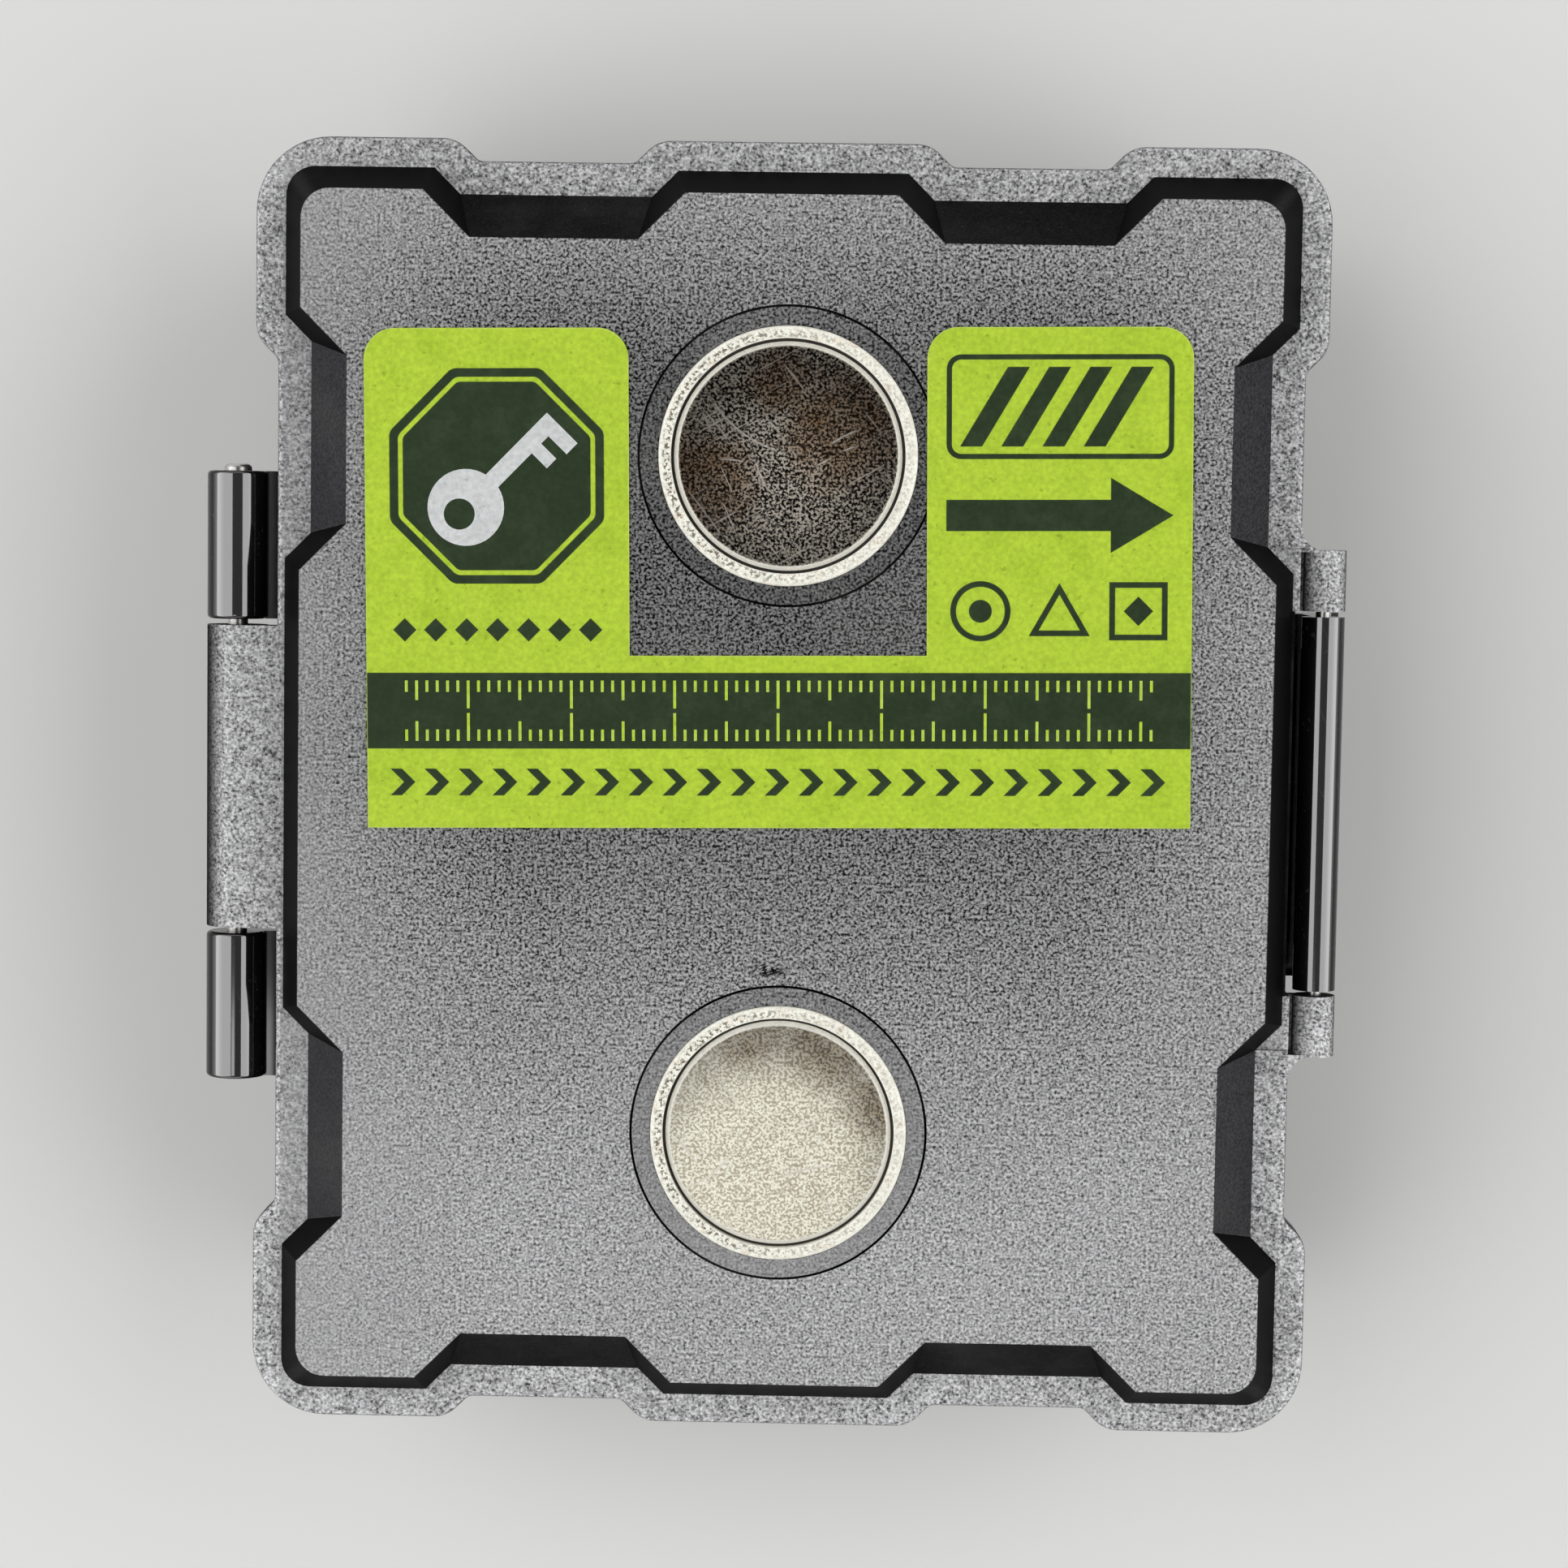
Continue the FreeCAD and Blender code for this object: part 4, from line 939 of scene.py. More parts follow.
@dataclass(frozen=True)
class PlatedCup(Finish):
    """Nickel-plated pressed steel whose rim is scuffed from snapping onto steel."""

    relief: tuple = (0.04, 0.7)
    magnet_y: float = 32.9
    rubbed_radius: float = 11.75
    rubbed_line: tuple = (0.6, 0.15)
    rubbed_side: tuple = (9.0, -9.0)
    rubbed_least: float = 0.35
    patches: Cloud = Cloud(1.6, 0.46, 0.66, detail=4.0, rough=0.65)
    warmth: Cloud = Cloud(0.9, 0.55, 0.7)
    nicks: Cloud = Cloud(2.6, 0.48, 0.58, detail=3.0, rough=0.6)
    bright: Colour = colour(255, 254, 240)
    worn: Colour = colour(186, 176, 156)
    warm: Colour = colour(226, 190, 160)
    nicked: Colour = colour(112, 106, 90)
    polished: Colour = colour(255, 253, 246)

    def fill(self, wiring: Wiring) -> dict:
        """Bright plating with rubbed, faintly tinted patches.

        Args:
            wiring: The material's wiring.

        Returns:
            Sources for the shader's inputs, by name.
        """
        patches = wiring.cloud(self.patches)
        fine = wiring.grain(size=0.22, contrast=1.2)
        tint = wiring.mix(patches, self.bright, self.worn, share=0.35)
        tint = wiring.mix(wiring.cloud(self.warmth), tint, self.warm, share=0.3)
        nicks = wiring.times(wiring.cloud(self.nicks), self.rubbed(wiring))
        tint = wiring.mix(nicks, tint, self.nicked)
        tint = wiring.shade(tint, fine["Grain"], gain=0.24, start=0.93)
        return {
            "Base Color": wiring.mix(wiring.wear(breakup=1.5, amount=0.7), tint, self.polished),
            "Metallic": 0.15,
            "Roughness": wiring.linear(patches, gain=0.15, start=0.42),
            "Normal": wiring.bump(fine["Height"], *self.relief),
        }

    def rubbed(self, wiring: Wiring) -> Source:
        """Marks the line along the middle of either rim that touches steel, stronger to the hinge.

        Args:
            wiring: The material's wiring.

        Returns:
            The mask.
        """
        across, along, _up = wiring.axes
        ahead = wiring.math("SUBTRACT", wiring.math("ABSOLUTE", along), self.magnet_y)
        off_line = wiring.math("SUBTRACT", wiring.length(across, ahead), self.rubbed_radius)
        line = wiring.remap(wiring.math("ABSOLUTE", off_line), *self.rubbed_line)
        return wiring.times(line, wiring.remap(across, *self.rubbed_side, self.rubbed_least, 1.0))


@dataclass(frozen=True)
class MagnetFace(Finish):
    """The plated face of a magnet disc, mottled and scratched.

    Stains and arcs are each a place on the plan and a radius. The face is painted lighter near one centre
    and darker away from it, as painted light and shade.
    """

    relief: tuple = (0.006, 0.4)
    centre_y: float = 0.0
    metallic: float = 0.86
    dull_metallic: float = 0.25
    dark: Colour = colour(30, 27, 24)
    light: Colour = colour(255, 244, 226)
    stain: Colour = colour(138, 110, 80)
    scratched: Colour = colour(226, 220, 208)
    polished: Colour = colour(250, 248, 242)
    stains: tuple = ((-8.0, 30.5, 7.0), (5.0, 35.5, 8.0), (-1.0, 40.0, 4.5))
    stain_core: float = 0.3
    # A painted light centre: the face is lighter near it and darker away from it.
    painted_light_centre: Point = (0.5, 31.0)
    painted_light_reach: tuple = (12.0, 1.0)
    painted_light_range: tuple = (0.30, 0.9)
    arcs: tuple = ((-6.0, 24.0, 8.5), (9.0, 28.0, 7.8), (2.0, 44.0, 11.0))
    stain_cloud: float = 0.45
    arc_line: float = 0.09
    arc_breaks: Cloud = Cloud(0.3, 0.46, 0.56)
    bevel: tuple = (10.48, 10.62)

    def fill(self, wiring: Wiring) -> dict:
        """Orange-peel plating, brown stains, scratches, a bright bevel, and painted light and shade about a
        centre.

        Args:
            wiring: The material's wiring.

        Returns:
            Sources for the shader's inputs, by name.
        """
        grain = wiring.grain(size=0.28, contrast=2.3)
        fine = grain["Grain"]
        tint = wiring.mix(fine, self.dark, self.light)
        tint = wiring.mix(self.stained(wiring), tint, wiring.shade(self.stain, fine, gain=1.6, start=0.3))
        rubbed = wiring.greatest(wiring.scratches(spacing=3.0, amount=0.5), self.curved(wiring))
        tint = wiring.mix(rubbed, tint, self.scratched, share=0.8)
        # Painted light near the centre and painted shade away from it.
        from_painted_light = wiring.apart(wiring.place, self.painted_light_centre)
        tint = wiring.shade(tint, wiring.remap(from_painted_light, *self.painted_light_reach, *self.painted_light_range))
        bevel = wiring.remap(wiring.apart(wiring.place, (0.0, self.centre_y)), *self.bevel)
        tint = wiring.mix(bevel, tint, wiring.shade(self.polished, fine, gain=0.1, start=0.9))
        sparks = wiring.times(wiring.math("POWER", fine, 3.0), 0.3)
        dulled = wiring.greatest(wiring.times(rubbed, 0.8), sparks, bevel)
        rough = wiring.linear(fine, gain=0.10, start=0.14)
        return {
            "Base Color": tint,
            "Metallic": wiring.linear(dulled, self.dull_metallic - self.metallic, self.metallic),
            "Roughness": wiring.linear(bevel, gain=0.2, start=rough),
            "Normal": wiring.bump(grain["Height"], *self.relief),
        }

    def stained(self, wiring: Wiring) -> Socket:
        """Marks the stained patches, broken up by a cloud.

        Args:
            wiring: The material's wiring.

        Returns:
            The mask.
        """
        cloud = wiring.noise(wiring.place, self.stain_cloud, detail=4.0, rough=0.65)
        cloud = wiring.math("SUBTRACT", cloud, 0.5)
        inside = wiring.greatest(*[
            wiring.remap(wiring.apart(wiring.place, (x, y)), reach, reach * self.stain_core)
            for x, y, reach in self.stains
        ])
        return wiring.math("MULTIPLY_ADD", cloud, 1.2, wiring.times(inside, 0.75), clamp=True)

    def curved(self, wiring: Wiring) -> Source:
        """Marks a few fine curved scratches.

        Args:
            wiring: The material's wiring.

        Returns:
            The mask.
        """
        lines = [
            wiring.math("COMPARE", wiring.apart(wiring.place, (x, y)), radius, self.arc_line)
            for x, y, radius in self.arcs
        ]
        return wiring.times(wiring.greatest(*lines), wiring.cloud(self.arc_breaks))


@dataclass(frozen=True)
class TurnedSteel(Finish):
    """Ground steel of the pins and screws."""

    relief: tuple = (0.01, 0.4)
    ring_stretch: tuple = (1.0, 14.0, 1.0)
    soot_cloud: Cloud = Cloud(0.9, 0.5, 0.72, detail=4.0, rough=0.6)
    base: Colour = colour(206, 204, 200)
    soot: Colour = colour(92, 86, 80)

    def fill(self, wiring: Wiring) -> dict:
        """Fine rings from grinding and a little soot in cloudy patches.

        Args:
            wiring: The material's wiring.

        Returns:
            Sources for the shader's inputs, by name.
        """
        rings = wiring.noise(wiring.stretch(wiring.place, self.ring_stretch), scale=1.2)
        tint = wiring.shade(self.base, rings, gain=0.3, start=0.8)
        return {
            "Base Color": wiring.mix(wiring.cloud(self.soot_cloud), tint, self.soot, share=0.4),
            "Metallic": 1.0,
            "Roughness": wiring.linear(rings, gain=0.2, start=0.18),
            "Normal": wiring.bump(rings, *self.relief),
        }


@dataclass(frozen=True)
class PrintedFilm(Finish):
    """Printed film of one colour, slightly mottled, with a pale edge that is partly the cut edge and partly
    painted highlight.
    """

    relief: tuple = (0.006, 0.4)
    mottle: Cloud = Cloud(0.30, 0.42, 0.68, detail=5.0, rough=0.65)
    flecks: Cloud = Cloud(1.5, 0.66, 0.74)
    fleck_shade: float = 0.6
    base: Colour = colour(181, 209, 63)
    fleck: Colour = colour(155, 187, 44)
    edge: Colour = colour(214, 232, 140)

    def fill(self, wiring: Wiring) -> dict:
        """Mottled print, small flecks and a satin surface that follows the grain below.

        Args:
            wiring: The material's wiring.

        Returns:
            Sources for the shader's inputs, by name.
        """
        mottle = wiring.cloud(self.mottle)
        grain = wiring.grain(size=0.5, contrast=1.0)
        dark_fleck = wiring.shade(self.fleck, self.fleck_shade)
        tint = wiring.mix(mottle, self.base, self.fleck, share=0.45)
        tint = wiring.mix(wiring.cloud(self.flecks), tint, dark_fleck, share=0.55)
        tint = wiring.shade(tint, wiring.noise(wiring.place, scale=3.0), gain=0.16, start=0.92)
        tint = wiring.shade(tint, grain["Grain"], gain=0.2, start=0.94)
        # The pale edge is partly the film's cut edge and partly painted highlight; on the inks it is painted
        # highlight.
        return {
            "Base Color": wiring.mix(wiring.wear(breakup=0.6, amount=0.9), tint, self.edge),
            "Roughness": wiring.linear(mottle, gain=0.12, start=0.36),
            "Specular IOR Level": 0.12,
            "Normal": wiring.bump(grain["Height"], *self.relief),
        }


@dataclass(frozen=True)
class PaleFloor(Finish):
    """A plain pale studio floor."""

    base: Colour = colour(238, 238, 236)
    paper: Colour = colour(230, 230, 228)

    def fill(self, wiring: Wiring) -> dict:
        """A near even tone with a faint paper texture.

        Args:
            wiring: The material's wiring.

        Returns:
            Sources for the shader's inputs, by name.
        """
        cloud = wiring.noise(wiring.place, scale=0.01, detail=3.0)
        tint = wiring.mix(cloud, self.base, self.paper, share=0.3)
        return {"Base Color": tint, "Roughness": 0.9, "Specular IOR Level": 0.2}


def box_loop(x_low: float, y_low: float, x_high: float, y_high: float) -> Loop:
    """A straight-sided box outline."""
    return [(x_low, y_low), (x_high, y_low), (x_high, y_high), (x_low, y_high)]


def square_loop(centre: Point, reach: float) -> Loop:
    """A square outline about a centre."""
    return box_loop(centre[0] - reach, centre[1] - reach, centre[0] + reach, centre[1] + reach)


def arc(centre: Point, radius: float, start: float, end: float, steps: int) -> Loop:
    """Points on an arc.

    Args:
        centre: Centre of the arc.
        radius: Its radius.
        start: First angle, in degrees.
        end: Last angle, in degrees.
        steps: Number of chords.

    Returns:
        The points, both ends included.
    """
    turns = [math.radians(start + (end - start) * step / steps) for step in range(steps + 1)]
    return [(centre[0] + radius * math.cos(turn), centre[1] + radius * math.sin(turn)) for turn in turns]


def ring_loop(centre: Point, radius: float, steps: int = 64) -> Loop:
    """A full circle."""
    return arc(centre, radius, 0.0, 360.0, steps)[:-1]


def rounded_loop(corners: Loop, radius: float, steps: int = 8) -> Loop:
    """Rounds every corner of a convex outline that runs counter-clockwise.

    Args:
        corners: The sharp corners.
        radius: Corner radius.
        steps: Chords at each corner.

    Returns:
        The rounded outline.
    """
    rounded: Loop = []
    count = len(corners)
    for number, corner in enumerate(corners):
        before = Vector(corners[number - 1]) - Vector(corner)
        after = Vector(corners[(number + 1) % count]) - Vector(corner)
        before.normalize()
        after.normalize()
        half = before.angle(after) / 2
        centre = Vector(corner) + (before + after).normalized() * (radius / math.sin(half))
        first = Vector(corner) + before * (radius / math.tan(half)) - centre
        start = math.degrees(math.atan2(first.y, first.x))
        rounded += arc((centre.x, centre.y), radius, start, start + 180 - 2 * math.degrees(half), steps)
    return rounded


def turned(loop: Loop, degrees: float, centre: Point = (0.0, 0.0), shift: Point = (0.0, 0.0)) -> Loop:
    """Turns a loop about a centre and then shifts it.

    Args:
        loop: The loop.
        degrees: The turn.
        centre: What it turns about.
        shift: The shift across and along.

    Returns:
        The moved loop.
    """
    turn = math.radians(degrees)
    moved: Loop = []
    for x, y in loop:
        across = x - centre[0]
        along = y - centre[1]
        moved.append((
            centre[0] + shift[0] + across * math.cos(turn) - along * math.sin(turn),
            centre[1] + shift[1] + across * math.sin(turn) + along * math.cos(turn),
        ))
    return moved


def diamond_loop(centre: Point, reach: float) -> Loop:
    """A square outline that stands on a corner."""
    return turned(square_loop(centre, reach), 45.0, centre)


def octagon_loop(centre: Point, radius: float, corner: float) -> Loop:
    """An octagon with level sides and rounded corners."""
    return rounded_loop(turned(ring_loop(centre, radius, 8), 22.5, centre), corner)


def placed(name: str, data: bpy.types.ID) -> bpy.types.Object:
    """Makes an object and puts it into the scene.

    Args:
        name: Name of the object.
        data: What it shows.

    Returns:
        The object.
    """
    made = bpy.data.objects.new(name, data)
    bpy.context.scene.collection.objects.link(made)
    return made


@dataclass
class LabelPrint:
    """The inks on the label film: a dark band with a rule, a key badge and plain marks."""

    film: Material
    dark: Material
    pale: Material
    origin: Point = (-0.42, -3.0)
    tilt: float = 0.9
    band_reach: float = 39.8
    band_low: float = 7.7
    band_high: float = 15.05
    tick_half: float = 0.14
    tick_inset: float = 0.75
    tick_count: int = 36
    tick_lengths: tuple = ((10, 2.7), (5, 1.9), (1, 1.1))
    chevron_middle: float = 4.45
    chevron_reach: float = 1.3
    chevron_thick: float = 1.1
    chevron_pitch: float = 3.3
    chevron_count: int = 23
    tab_middle: float = 27.1
    panel_reach: float = 10.9
    badge_height: float = 34.0
    badge_rings: tuple = ((11.2, 1.2), (10.3, 1.0), (9.8, 0.9))
    key_bow: float = 3.7
    key_hole: float = 1.5
    key_hole_middle: Point = (-0.9, 0.0)
    key_shank: float = 0.85
    key_teeth: tuple = ((8.2, 9.5, 2.9), (10.5, 12.0, 3.3))
    key_tilt: float = 45.0
    key_shift: float = -3.0
    diamond_height: float = 19.2
    diamond_pitch: float = 3.0
    diamond_reach: float = 0.8
    diamonds_aside: int = 3
    stripe_low: float = 35.6
    stripe_high: float = 45.6
    frame_line: float = 0.5
    frame_corners: tuple = (1.4, 0.9)
    stripe_inset: float = 1.2
    stripe_start: float = 1.3
    stripe_wide: float = 2.1
    stripe_pitch: float = 3.948
    stripe_lean: float = 0.6
    stripe_count: int = 4
    arrow_height: float = 30.2
    arrow_half: float = 1.5
    arrow_head: tuple = (6.0, 3.6)
    mark_height: float = 21.0
    mark_pitch: float = 7.6
    mark_size: float = 2.9
    mark_line: float = 0.55
    dot_radius: float = 1.1
    dot_reach: float = 1.0
    triangle_radius: float = 3.4
    triangle_drop: float = 0.7
    square_reach: float = 2.8
    ink: float = 0.02
    ink_half: float = 0.015
    weld: float = 0.0005
    film_top: float = 0.0

    def build(self) -> None:
        """Prints every layer and lets it ride on the lid."""
        self.film_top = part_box("label_sticker")[1].z / MM
        self.band()
        self.rule()
        self.chevrons()
        self.badge()
        self.stripe_panel()
        self.arrow()
        self.marks()

    def layer(self, name: str, loops: list[Loop], ink: Material, level: int) -> None:
        """Prints one layer of ink.

        Args:
            name: Name of the piece.
            loops: Closed outlines in the label's own frame; a loop inside another cuts a hole.
            ink: The ink's material.
            level: How many layers lie below.
        """
        half_thick = self.ink_half * MM
        mesh = self.plate(name, loops, half_thick)
        low = self.film_top - self.ink / 2 + self.ink * level
        mesh.transform(Matrix.Translation((0, 0, low * MM + half_thick)))
        shape = bmesh.new()
        shape.from_mesh(mesh)
        bmesh.ops.remove_doubles(shape, verts=shape.verts, dist=self.weld * MM)
        bmesh.ops.recalc_face_normals(shape, faces=shape.faces)
        shape.to_mesh(mesh)
        shape.free()
        mesh.materials.clear()
        mesh.materials.append(ink)
        piece = placed(name, mesh)
        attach(piece, "lid")
        log.info("print %s, %d faces", name, len(mesh.polygons))

    def plate(self, name: str, loops: list[Loop], half_thick: float) -> bpy.types.Mesh:
        """Fills outlines to a thin plate about the ground plane.

        Args:
            name: Name of the piece.
            loops: Closed outlines in the label's own frame.
            half_thick: Half of the plate's thickness, in metres.

        Returns:
            The plate's mesh.
        """
        outline = bpy.data.curves.new(name + "_outline", "CURVE")
        outline.dimensions = "2D"
        outline.fill_mode = "BOTH"
        outline.extrude = half_thick
        for loop in loops:
            spline = outline.splines.new("POLY")
            spline.points.add(len(loop) - 1)
            for point, (x, y) in zip(spline.points, turned(loop, self.tilt, shift=self.origin)):
                point.co = (x * MM, y * MM, 0.0, 1.0)
            spline.use_cyclic_u = True
        holder = placed(name + "_outline", outline)
        bpy.context.view_layer.update()
        evaluated = holder.evaluated_get(bpy.context.evaluated_depsgraph_get())
        mesh = bpy.data.meshes.new_from_object(evaluated)
        bpy.data.objects.remove(holder)
        return mesh

    def band(self) -> None:
        """The dark band across the label, a hair short of the film's edges."""
        band = box_loop(-self.band_reach, self.band_low, self.band_reach, self.band_high)
        self.layer("print_band", [band], self.dark, 0)

    def rule(self) -> None:
        """A rule along both sides of the band, a tick for each millimetre."""
        loops: list[Loop] = []
        low = self.band_low + self.tick_inset
        high = self.band_high - self.tick_inset
        for number in range(-self.tick_count, self.tick_count + 1):
            tall = next(length for step, length in self.tick_lengths if number % step == 0)
            left = number - self.tick_half
            right = number + self.tick_half
            loops.append(box_loop(left, low, right, low + tall))
            loops.append(box_loop(left, high - tall, right, high))
        self.layer("print_rule", loops, self.film, 1)

    def chevrons(self) -> None:
        """A row of chevrons along the lower strip."""
        loops: list[Loop] = []
        middle = self.chevron_middle
        low = middle - self.chevron_reach
        high = middle + self.chevron_reach
        for number in range(self.chevron_count):
            tip = (number - (self.chevron_count - 1) / 2) * self.chevron_pitch
            tail = tip - self.chevron_reach
            loops.append([
                (tail, low), (tail + self.chevron_thick, low), (tip + self.chevron_thick, middle),
                (tail + self.chevron_thick, high), (tail, high), (tip, middle),
            ])
        self.layer("print_chevrons", loops, self.dark, 0)

    def badge(self) -> None:
        """A dark octagon with a pale key, and diamonds below it."""
        centre = (-self.tab_middle, self.badge_height)
        rings = [octagon_loop(centre, radius, corner) for radius, corner in self.badge_rings]
        self.layer("print_badge", rings, self.dark, 0)
        shank = self.key_shank
        root = math.degrees(math.asin(shank / self.key_bow))
        key = arc((0.0, 0.0), self.key_bow, root, 360 - root, 40)
        for left, right, depth in self.key_teeth:
            key += [(left, -shank), (left, -depth), (right, -depth), (right, -shank)]
        key[-1] = (key[-1][0], shank)
        hole = ring_loop(self.key_hole_middle, self.key_hole, 32)
        shift = (centre[0] + self.key_shift, centre[1] + self.key_shift)
        loops = [turned(loop, self.key_tilt, shift=shift) for loop in (key, hole)]
        self.layer("print_key", loops, self.pale, 1)
        diamonds = []
        for number in range(-self.diamonds_aside, self.diamonds_aside + 1):
            spot = (centre[0] + number * self.diamond_pitch, self.diamond_height)
            diamonds.append(diamond_loop(spot, self.diamond_reach))
        self.layer("print_diamonds", diamonds, self.dark, 0)

    def stripe_panel(self) -> None:
        """Slanted stripes inside a thin frame."""
        x_low = self.tab_middle - self.panel_reach
        x_high = self.tab_middle + self.panel_reach
        line = self.frame_line
        outer = box_loop(x_low, self.stripe_low, x_high, self.stripe_high)
        inner = box_loop(x_low + line, self.stripe_low + line, x_high - line, self.stripe_high - line)
        loops = [rounded_loop(loop, corner) for loop, corner in zip((outer, inner), self.frame_corners)]
        low = self.stripe_low + self.stripe_inset
        high = self.stripe_high - self.stripe_inset
        lean = (high - low) * self.stripe_lean
        wide = self.stripe_wide
        for number in range(self.stripe_count):
            x = x_low + self.stripe_start + number * self.stripe_pitch
            loops.append([(x, low), (x + wide, low), (x + wide + lean, high), (x + lean, high)])
        self.layer("print_stripes", loops, self.dark, 0)

    def arrow(self) -> None:
        """A bold arrow that points across the tab."""
        left = self.tab_middle - self.panel_reach
        right = self.tab_middle + self.panel_reach
        head, head_half = self.arrow_head
        neck = right - head
        middle = self.arrow_height
        half = self.arrow_half
        self.layer("print_arrow", [[
            (left, middle - half), (neck, middle - half), (neck, middle - head_half), (right, middle),
            (neck, middle + head_half), (neck, middle + half), (left, middle + half),
        ]], self.dark, 0)

    def marks(self) -> None:
        """A ring, a triangle and a square, each a plain outline."""
        size = self.mark_size
        line = self.mark_line
        height = self.mark_height
        left, middle, right = [
            (self.tab_middle + shift, height) for shift in (-self.mark_pitch, 0.0, self.mark_pitch)
        ]
        loops = [ring_loop(left, radius) for radius in (size, size - line, self.dot_radius)]
        centre = (middle[0], middle[1] - self.triangle_drop)
        for radius in (self.triangle_radius, self.triangle_radius - 2 * line):
            loops.append(arc(centre, radius, -30.0, 210.0, 2))
        for reach in (self.square_reach, self.square_reach - line):
            loops.append(square_loop(right, reach))
        loops.append(diamond_loop(right, self.dot_reach))
        self.layer("print_marks", loops, self.dark, 0)


@dataclass
class Casing:
    """The tub, lid, latch, seal and dividers."""

    nodes: dict
    lid: Finish = LidPlastic("grained_lid_plastic")
    tub: Finish = SmoothPlastic("smooth_tub_plastic")
    latch: Finish = SmoothPlastic("polished_latch_plastic", wall_rough=0.18, barrel_x=49.0)
    rubber: Finish = SoftRubber("seal_rubber")
    divider: Finish = DividerPlastic("divider_sheet")

    def dress(self) -> None:
        """Gives every shell and insert its finish."""
        coat(self.nodes, self.lid, "lid_shell")
        coat(self.nodes, self.tub, "tub_shell")
        coat(self.nodes, self.latch, "latch_plate")
        coat(self.nodes, self.rubber, "rim_gasket", "seal_washer_upper", "seal_washer_lower")
        coat(self.nodes, self.divider, "divider_long", "divider_cross_upper", "divider_cross_lower")


@dataclass
class Magnets:
    """The two pot magnets with their resin."""

    nodes: dict
    centre_y: float = 32.9
    cup: Finish = PlatedCup("plated_cup_steel")
    resin: Finish = CastResin("dark_potting_resin")

    def dress(self) -> None:
        """Gives the cups, discs and resin rings their finish."""
        upper = MagnetFace("dark_magnet_plating", centre_y=self.centre_y)
        # The lower disc is a pale, barely metallic copy of the plating, a painted reflection of bright
        # light, and darker towards its top edge as painted shade.
        lower = MagnetFace(
            "pale_magnet_plating_painted_reflection", centre_y=-self.centre_y, metallic=0.12,
            dark=colour(178, 169, 146), light=colour(255, 252, 234), stain=colour(150, 136, 112),
            stains=((5.0, -23.5, 6.5), (-3.0, -22.5, 5.5), (9.5, -30.0, 4.5)),
            painted_light_centre=(-1.0, -37.0), painted_light_range=(0.5, 1.0), painted_light_reach=(14.0, 7.0),
            arcs=((6.0, -50.0, 14.0), (-12.0, -30.0, 9.0)),
        )
        coat(self.nodes, self.cup, "magnet_cup_upper", "magnet_cup_lower")
        coat(self.nodes, self.resin, "resin_ring_upper", "resin_ring_lower")
        coat(self.nodes, upper, "magnet_disc_upper")
        coat(self.nodes, lower, "magnet_disc_lower")


@dataclass
class Fasteners:
    """The hinge pin, the latch pin and the magnet screws."""

    nodes: dict
    steel: Finish = TurnedSteel("ground_steel")

    def dress(self) -> None:
        """Gives the steel parts their finish."""
        coat(self.nodes, self.steel, "hinge_pin", "latch_pin", "magnet_screw_upper", "magnet_screw_lower")


@dataclass
class Label:
    """The label film and the inks on it."""

    nodes: dict
    film: Finish = PrintedFilm("green_label_film")
    # Each ink's edge colour makes a painted highlight along its rims.
    dark: Finish = PrintedFilm(
        "dark_label_ink", base=colour(45, 58, 38), fleck=colour(56, 71, 46), edge=colour(74, 90, 52),
    )
    pale: Finish = PrintedFilm(
        "pale_label_ink", base=colour(208, 211, 210), fleck=colour(196, 199, 198),
        edge=colour(226, 228, 228),
    )

    def dress(self) -> None:
        """Gives the film its finish and prints on it."""
        film = coat(self.nodes, self.film, "label_sticker")
        LabelPrint(film, self.dark.material(), self.pale.material()).build()


def coat(nodes: dict, finish: Finish, *names: str) -> Material:
    """Puts one finish on some nodes of the frame.

    Args:
        nodes: The frame's nodes by name.
        finish: The finish.
        names: Names of the nodes.

    Returns:
        The material.
    """
    made = finish.material()
    for name in names:
        nodes[name].data.materials.clear()
        nodes[name].data.materials.append(made)
        log.info("node %s takes %s", name, finish.name)
    return made


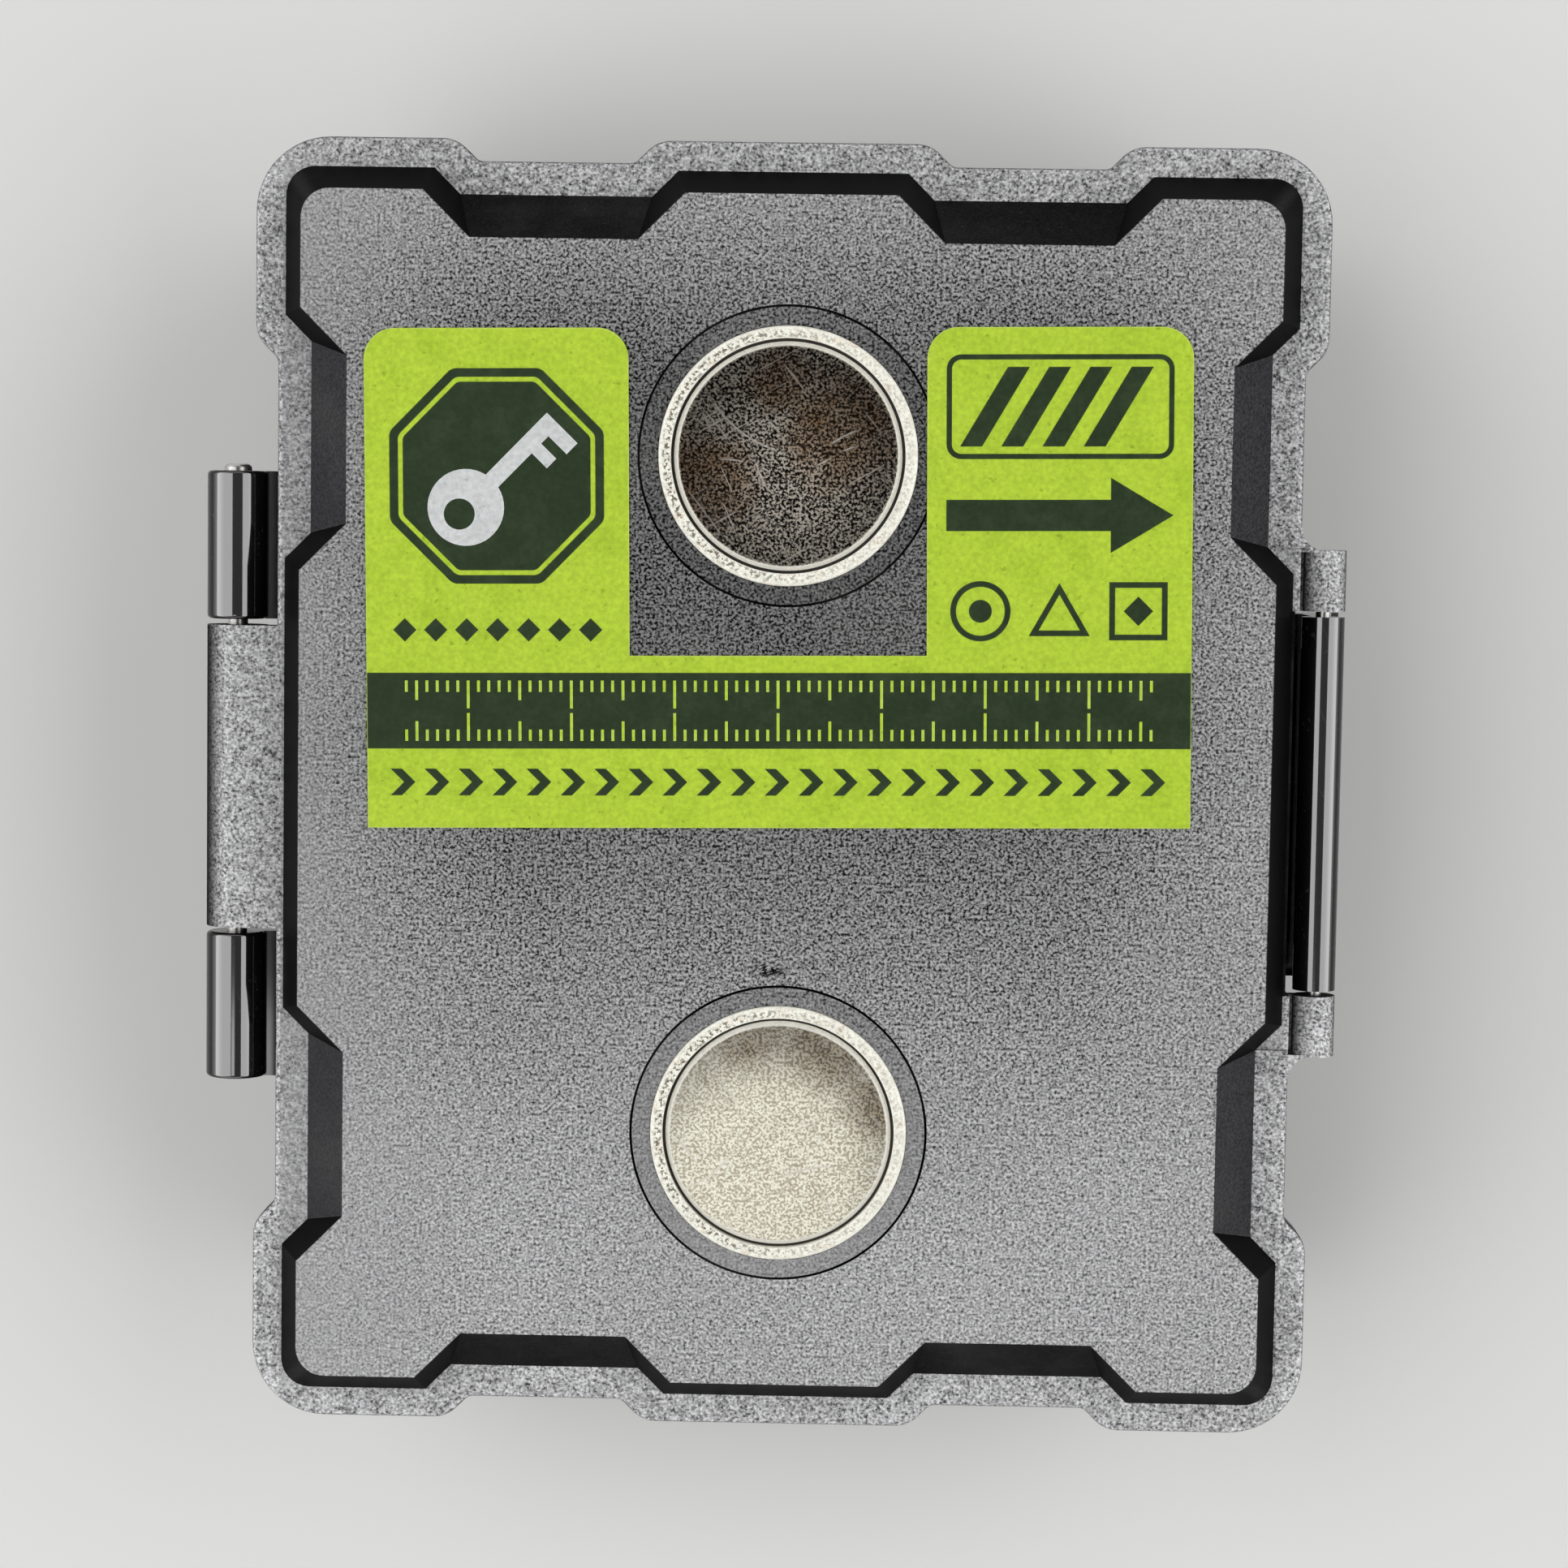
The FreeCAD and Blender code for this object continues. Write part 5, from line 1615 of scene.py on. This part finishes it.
@dataclass
class Studio:
    """Floor, soft lights and the camera at the photograph's place."""

    lens: float = 81.52
    nearest: float = 10.0
    camera_place: tuple = (6.80, 28.01, 384.81)
    camera_turn: tuple = (0.0778068, -0.0195399, -0.0167749)
    floor_size: float = 9000.0
    light_distance: float = 3000.0
    light_length: float = 4200.0
    left_angles: tuple = (-77.0, -13.0)
    right_angles: tuple = (25.0, 80.0)
    side_radiance: float = 1.42
    near_place: tuple = (-210.0, -655.0, 2400.0)
    near_size: tuple = (480.0, 590.0)
    near_radiance: float = 1.3
    sky_colour: Colour = colour(250, 250, 252)
    sky_heights: tuple = (0.30, 0.75)
    horizon: float = 0.78
    overhead: float = 0.10

    def build(self) -> None:
        """Makes the whole studio."""
        self.floor()
        self.sky()
        self.camera()
        self.side_softbox("left_softbox", *self.left_angles)
        self.side_softbox("right_softbox", *self.right_angles)
        self.softbox("near_softbox", self.near_place, self.near_size, self.near_radiance)

    def floor(self) -> None:
        """A pale plane under the box."""
        mesh = bpy.data.meshes.new("floor")
        half = self.floor_size * MM / 2
        mesh.from_pydata([(x, y, 0) for x, y in box_loop(-half, -half, half, half)], [], [(0, 1, 2, 3)])
        mesh.materials.append(PaleFloor("pale_floor").material())
        plane = placed("floor", mesh)

    def sky(self) -> None:
        """A world that is pale at the horizon and dims overhead, as in a draped studio."""
        world = bpy.data.worlds.new("studio_world")
        bpy.context.scene.world = world
        world.use_nodes = True
        world.node_tree.nodes.clear()
        wiring = Wiring(world.node_tree)
        upward = wiring.split(wiring.node("ShaderNodeTexCoord").outputs["Generated"])[2]
        strength = wiring.remap(upward, *self.sky_heights, self.horizon, self.overhead)
        light = wiring.node("ShaderNodeBackground")
        wiring.feed_all(light, Color=self.sky_colour, Strength=strength)
        output = wiring.node("ShaderNodeOutputWorld")
        wiring.feed(output.inputs["Surface"], light.outputs["Background"])

    def camera(self) -> None:
        """The camera, as fitted to the photograph's outline."""
        lens = bpy.data.cameras.new("camera")
        lens.lens = self.lens
        lens.clip_start = self.nearest * MM
        holder = placed("camera", lens)
        about_x, about_y, about_z = self.camera_turn
        view = (Matrix.Rotation(about_z, 4, "Z") @ Matrix.Rotation(about_y, 4, "Y")
                @ Matrix.Rotation(about_x, 4, "X"))
        holder.matrix_world = Matrix.Translation(Vector(self.camera_place) * MM) @ view.inverted()
        bpy.context.scene.camera = holder

    def side_softbox(self, name: str, first: float, last: float) -> None:
        """A long softbox along Y that fills a range of angles from the vertical.

        Args:
            name: Name of the light.
            first: First angle in degrees, negative to the left.
            last: Last angle in degrees.
        """
        middle = math.radians((first + last) / 2)
        width = 2 * self.light_distance * math.tan(math.radians((last - first) / 2))
        place = (self.light_distance * math.sin(middle), 0.0, self.light_distance * math.cos(middle))
        self.softbox(name, place, (width, self.light_length), self.side_radiance)

    def softbox(self, name: str, place: tuple, size: tuple, radiance: float) -> None:
        """A rectangular soft light that faces the middle of the box.

        Args:
            name: Name of the light.
            place: Its centre, in millimetres.
            size: Its two sides, in millimetres.
            radiance: How bright its face is; 1 looks white.
        """
        light = bpy.data.lights.new(name, "AREA")
        light.shape = "RECTANGLE"
        light.size = size[0] * MM
        light.size_y = size[1] * MM
        light.energy = radiance * math.pi * light.size * light.size_y
        holder = placed(name, light)
        centre = Vector(place) * MM
        outward = centre.normalized()
        across = Vector((0.0, 1.0, 0.0)).cross(outward).normalized()
        along = outward.cross(across)
        basis = Matrix((across, along, outward)).transposed().to_4x4()
        holder.matrix_world = Matrix.Translation(centre) @ basis


def main() -> None:
    """Loads the frame, dresses it and sets up the studio."""
    logging.basicConfig(level=logging.INFO, format="%(name)s: %(message)s")
    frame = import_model()
    EffectLibrary().build()
    bpy.context.scene.view_settings.view_transform = "Standard"
    nodes = frame["nodes"]
    Studio().build()
    for assembly in (Casing(nodes), Magnets(nodes), Fasteners(nodes), Label(nodes)):
        assembly.dress()


if __name__ == "__main__":
    main()
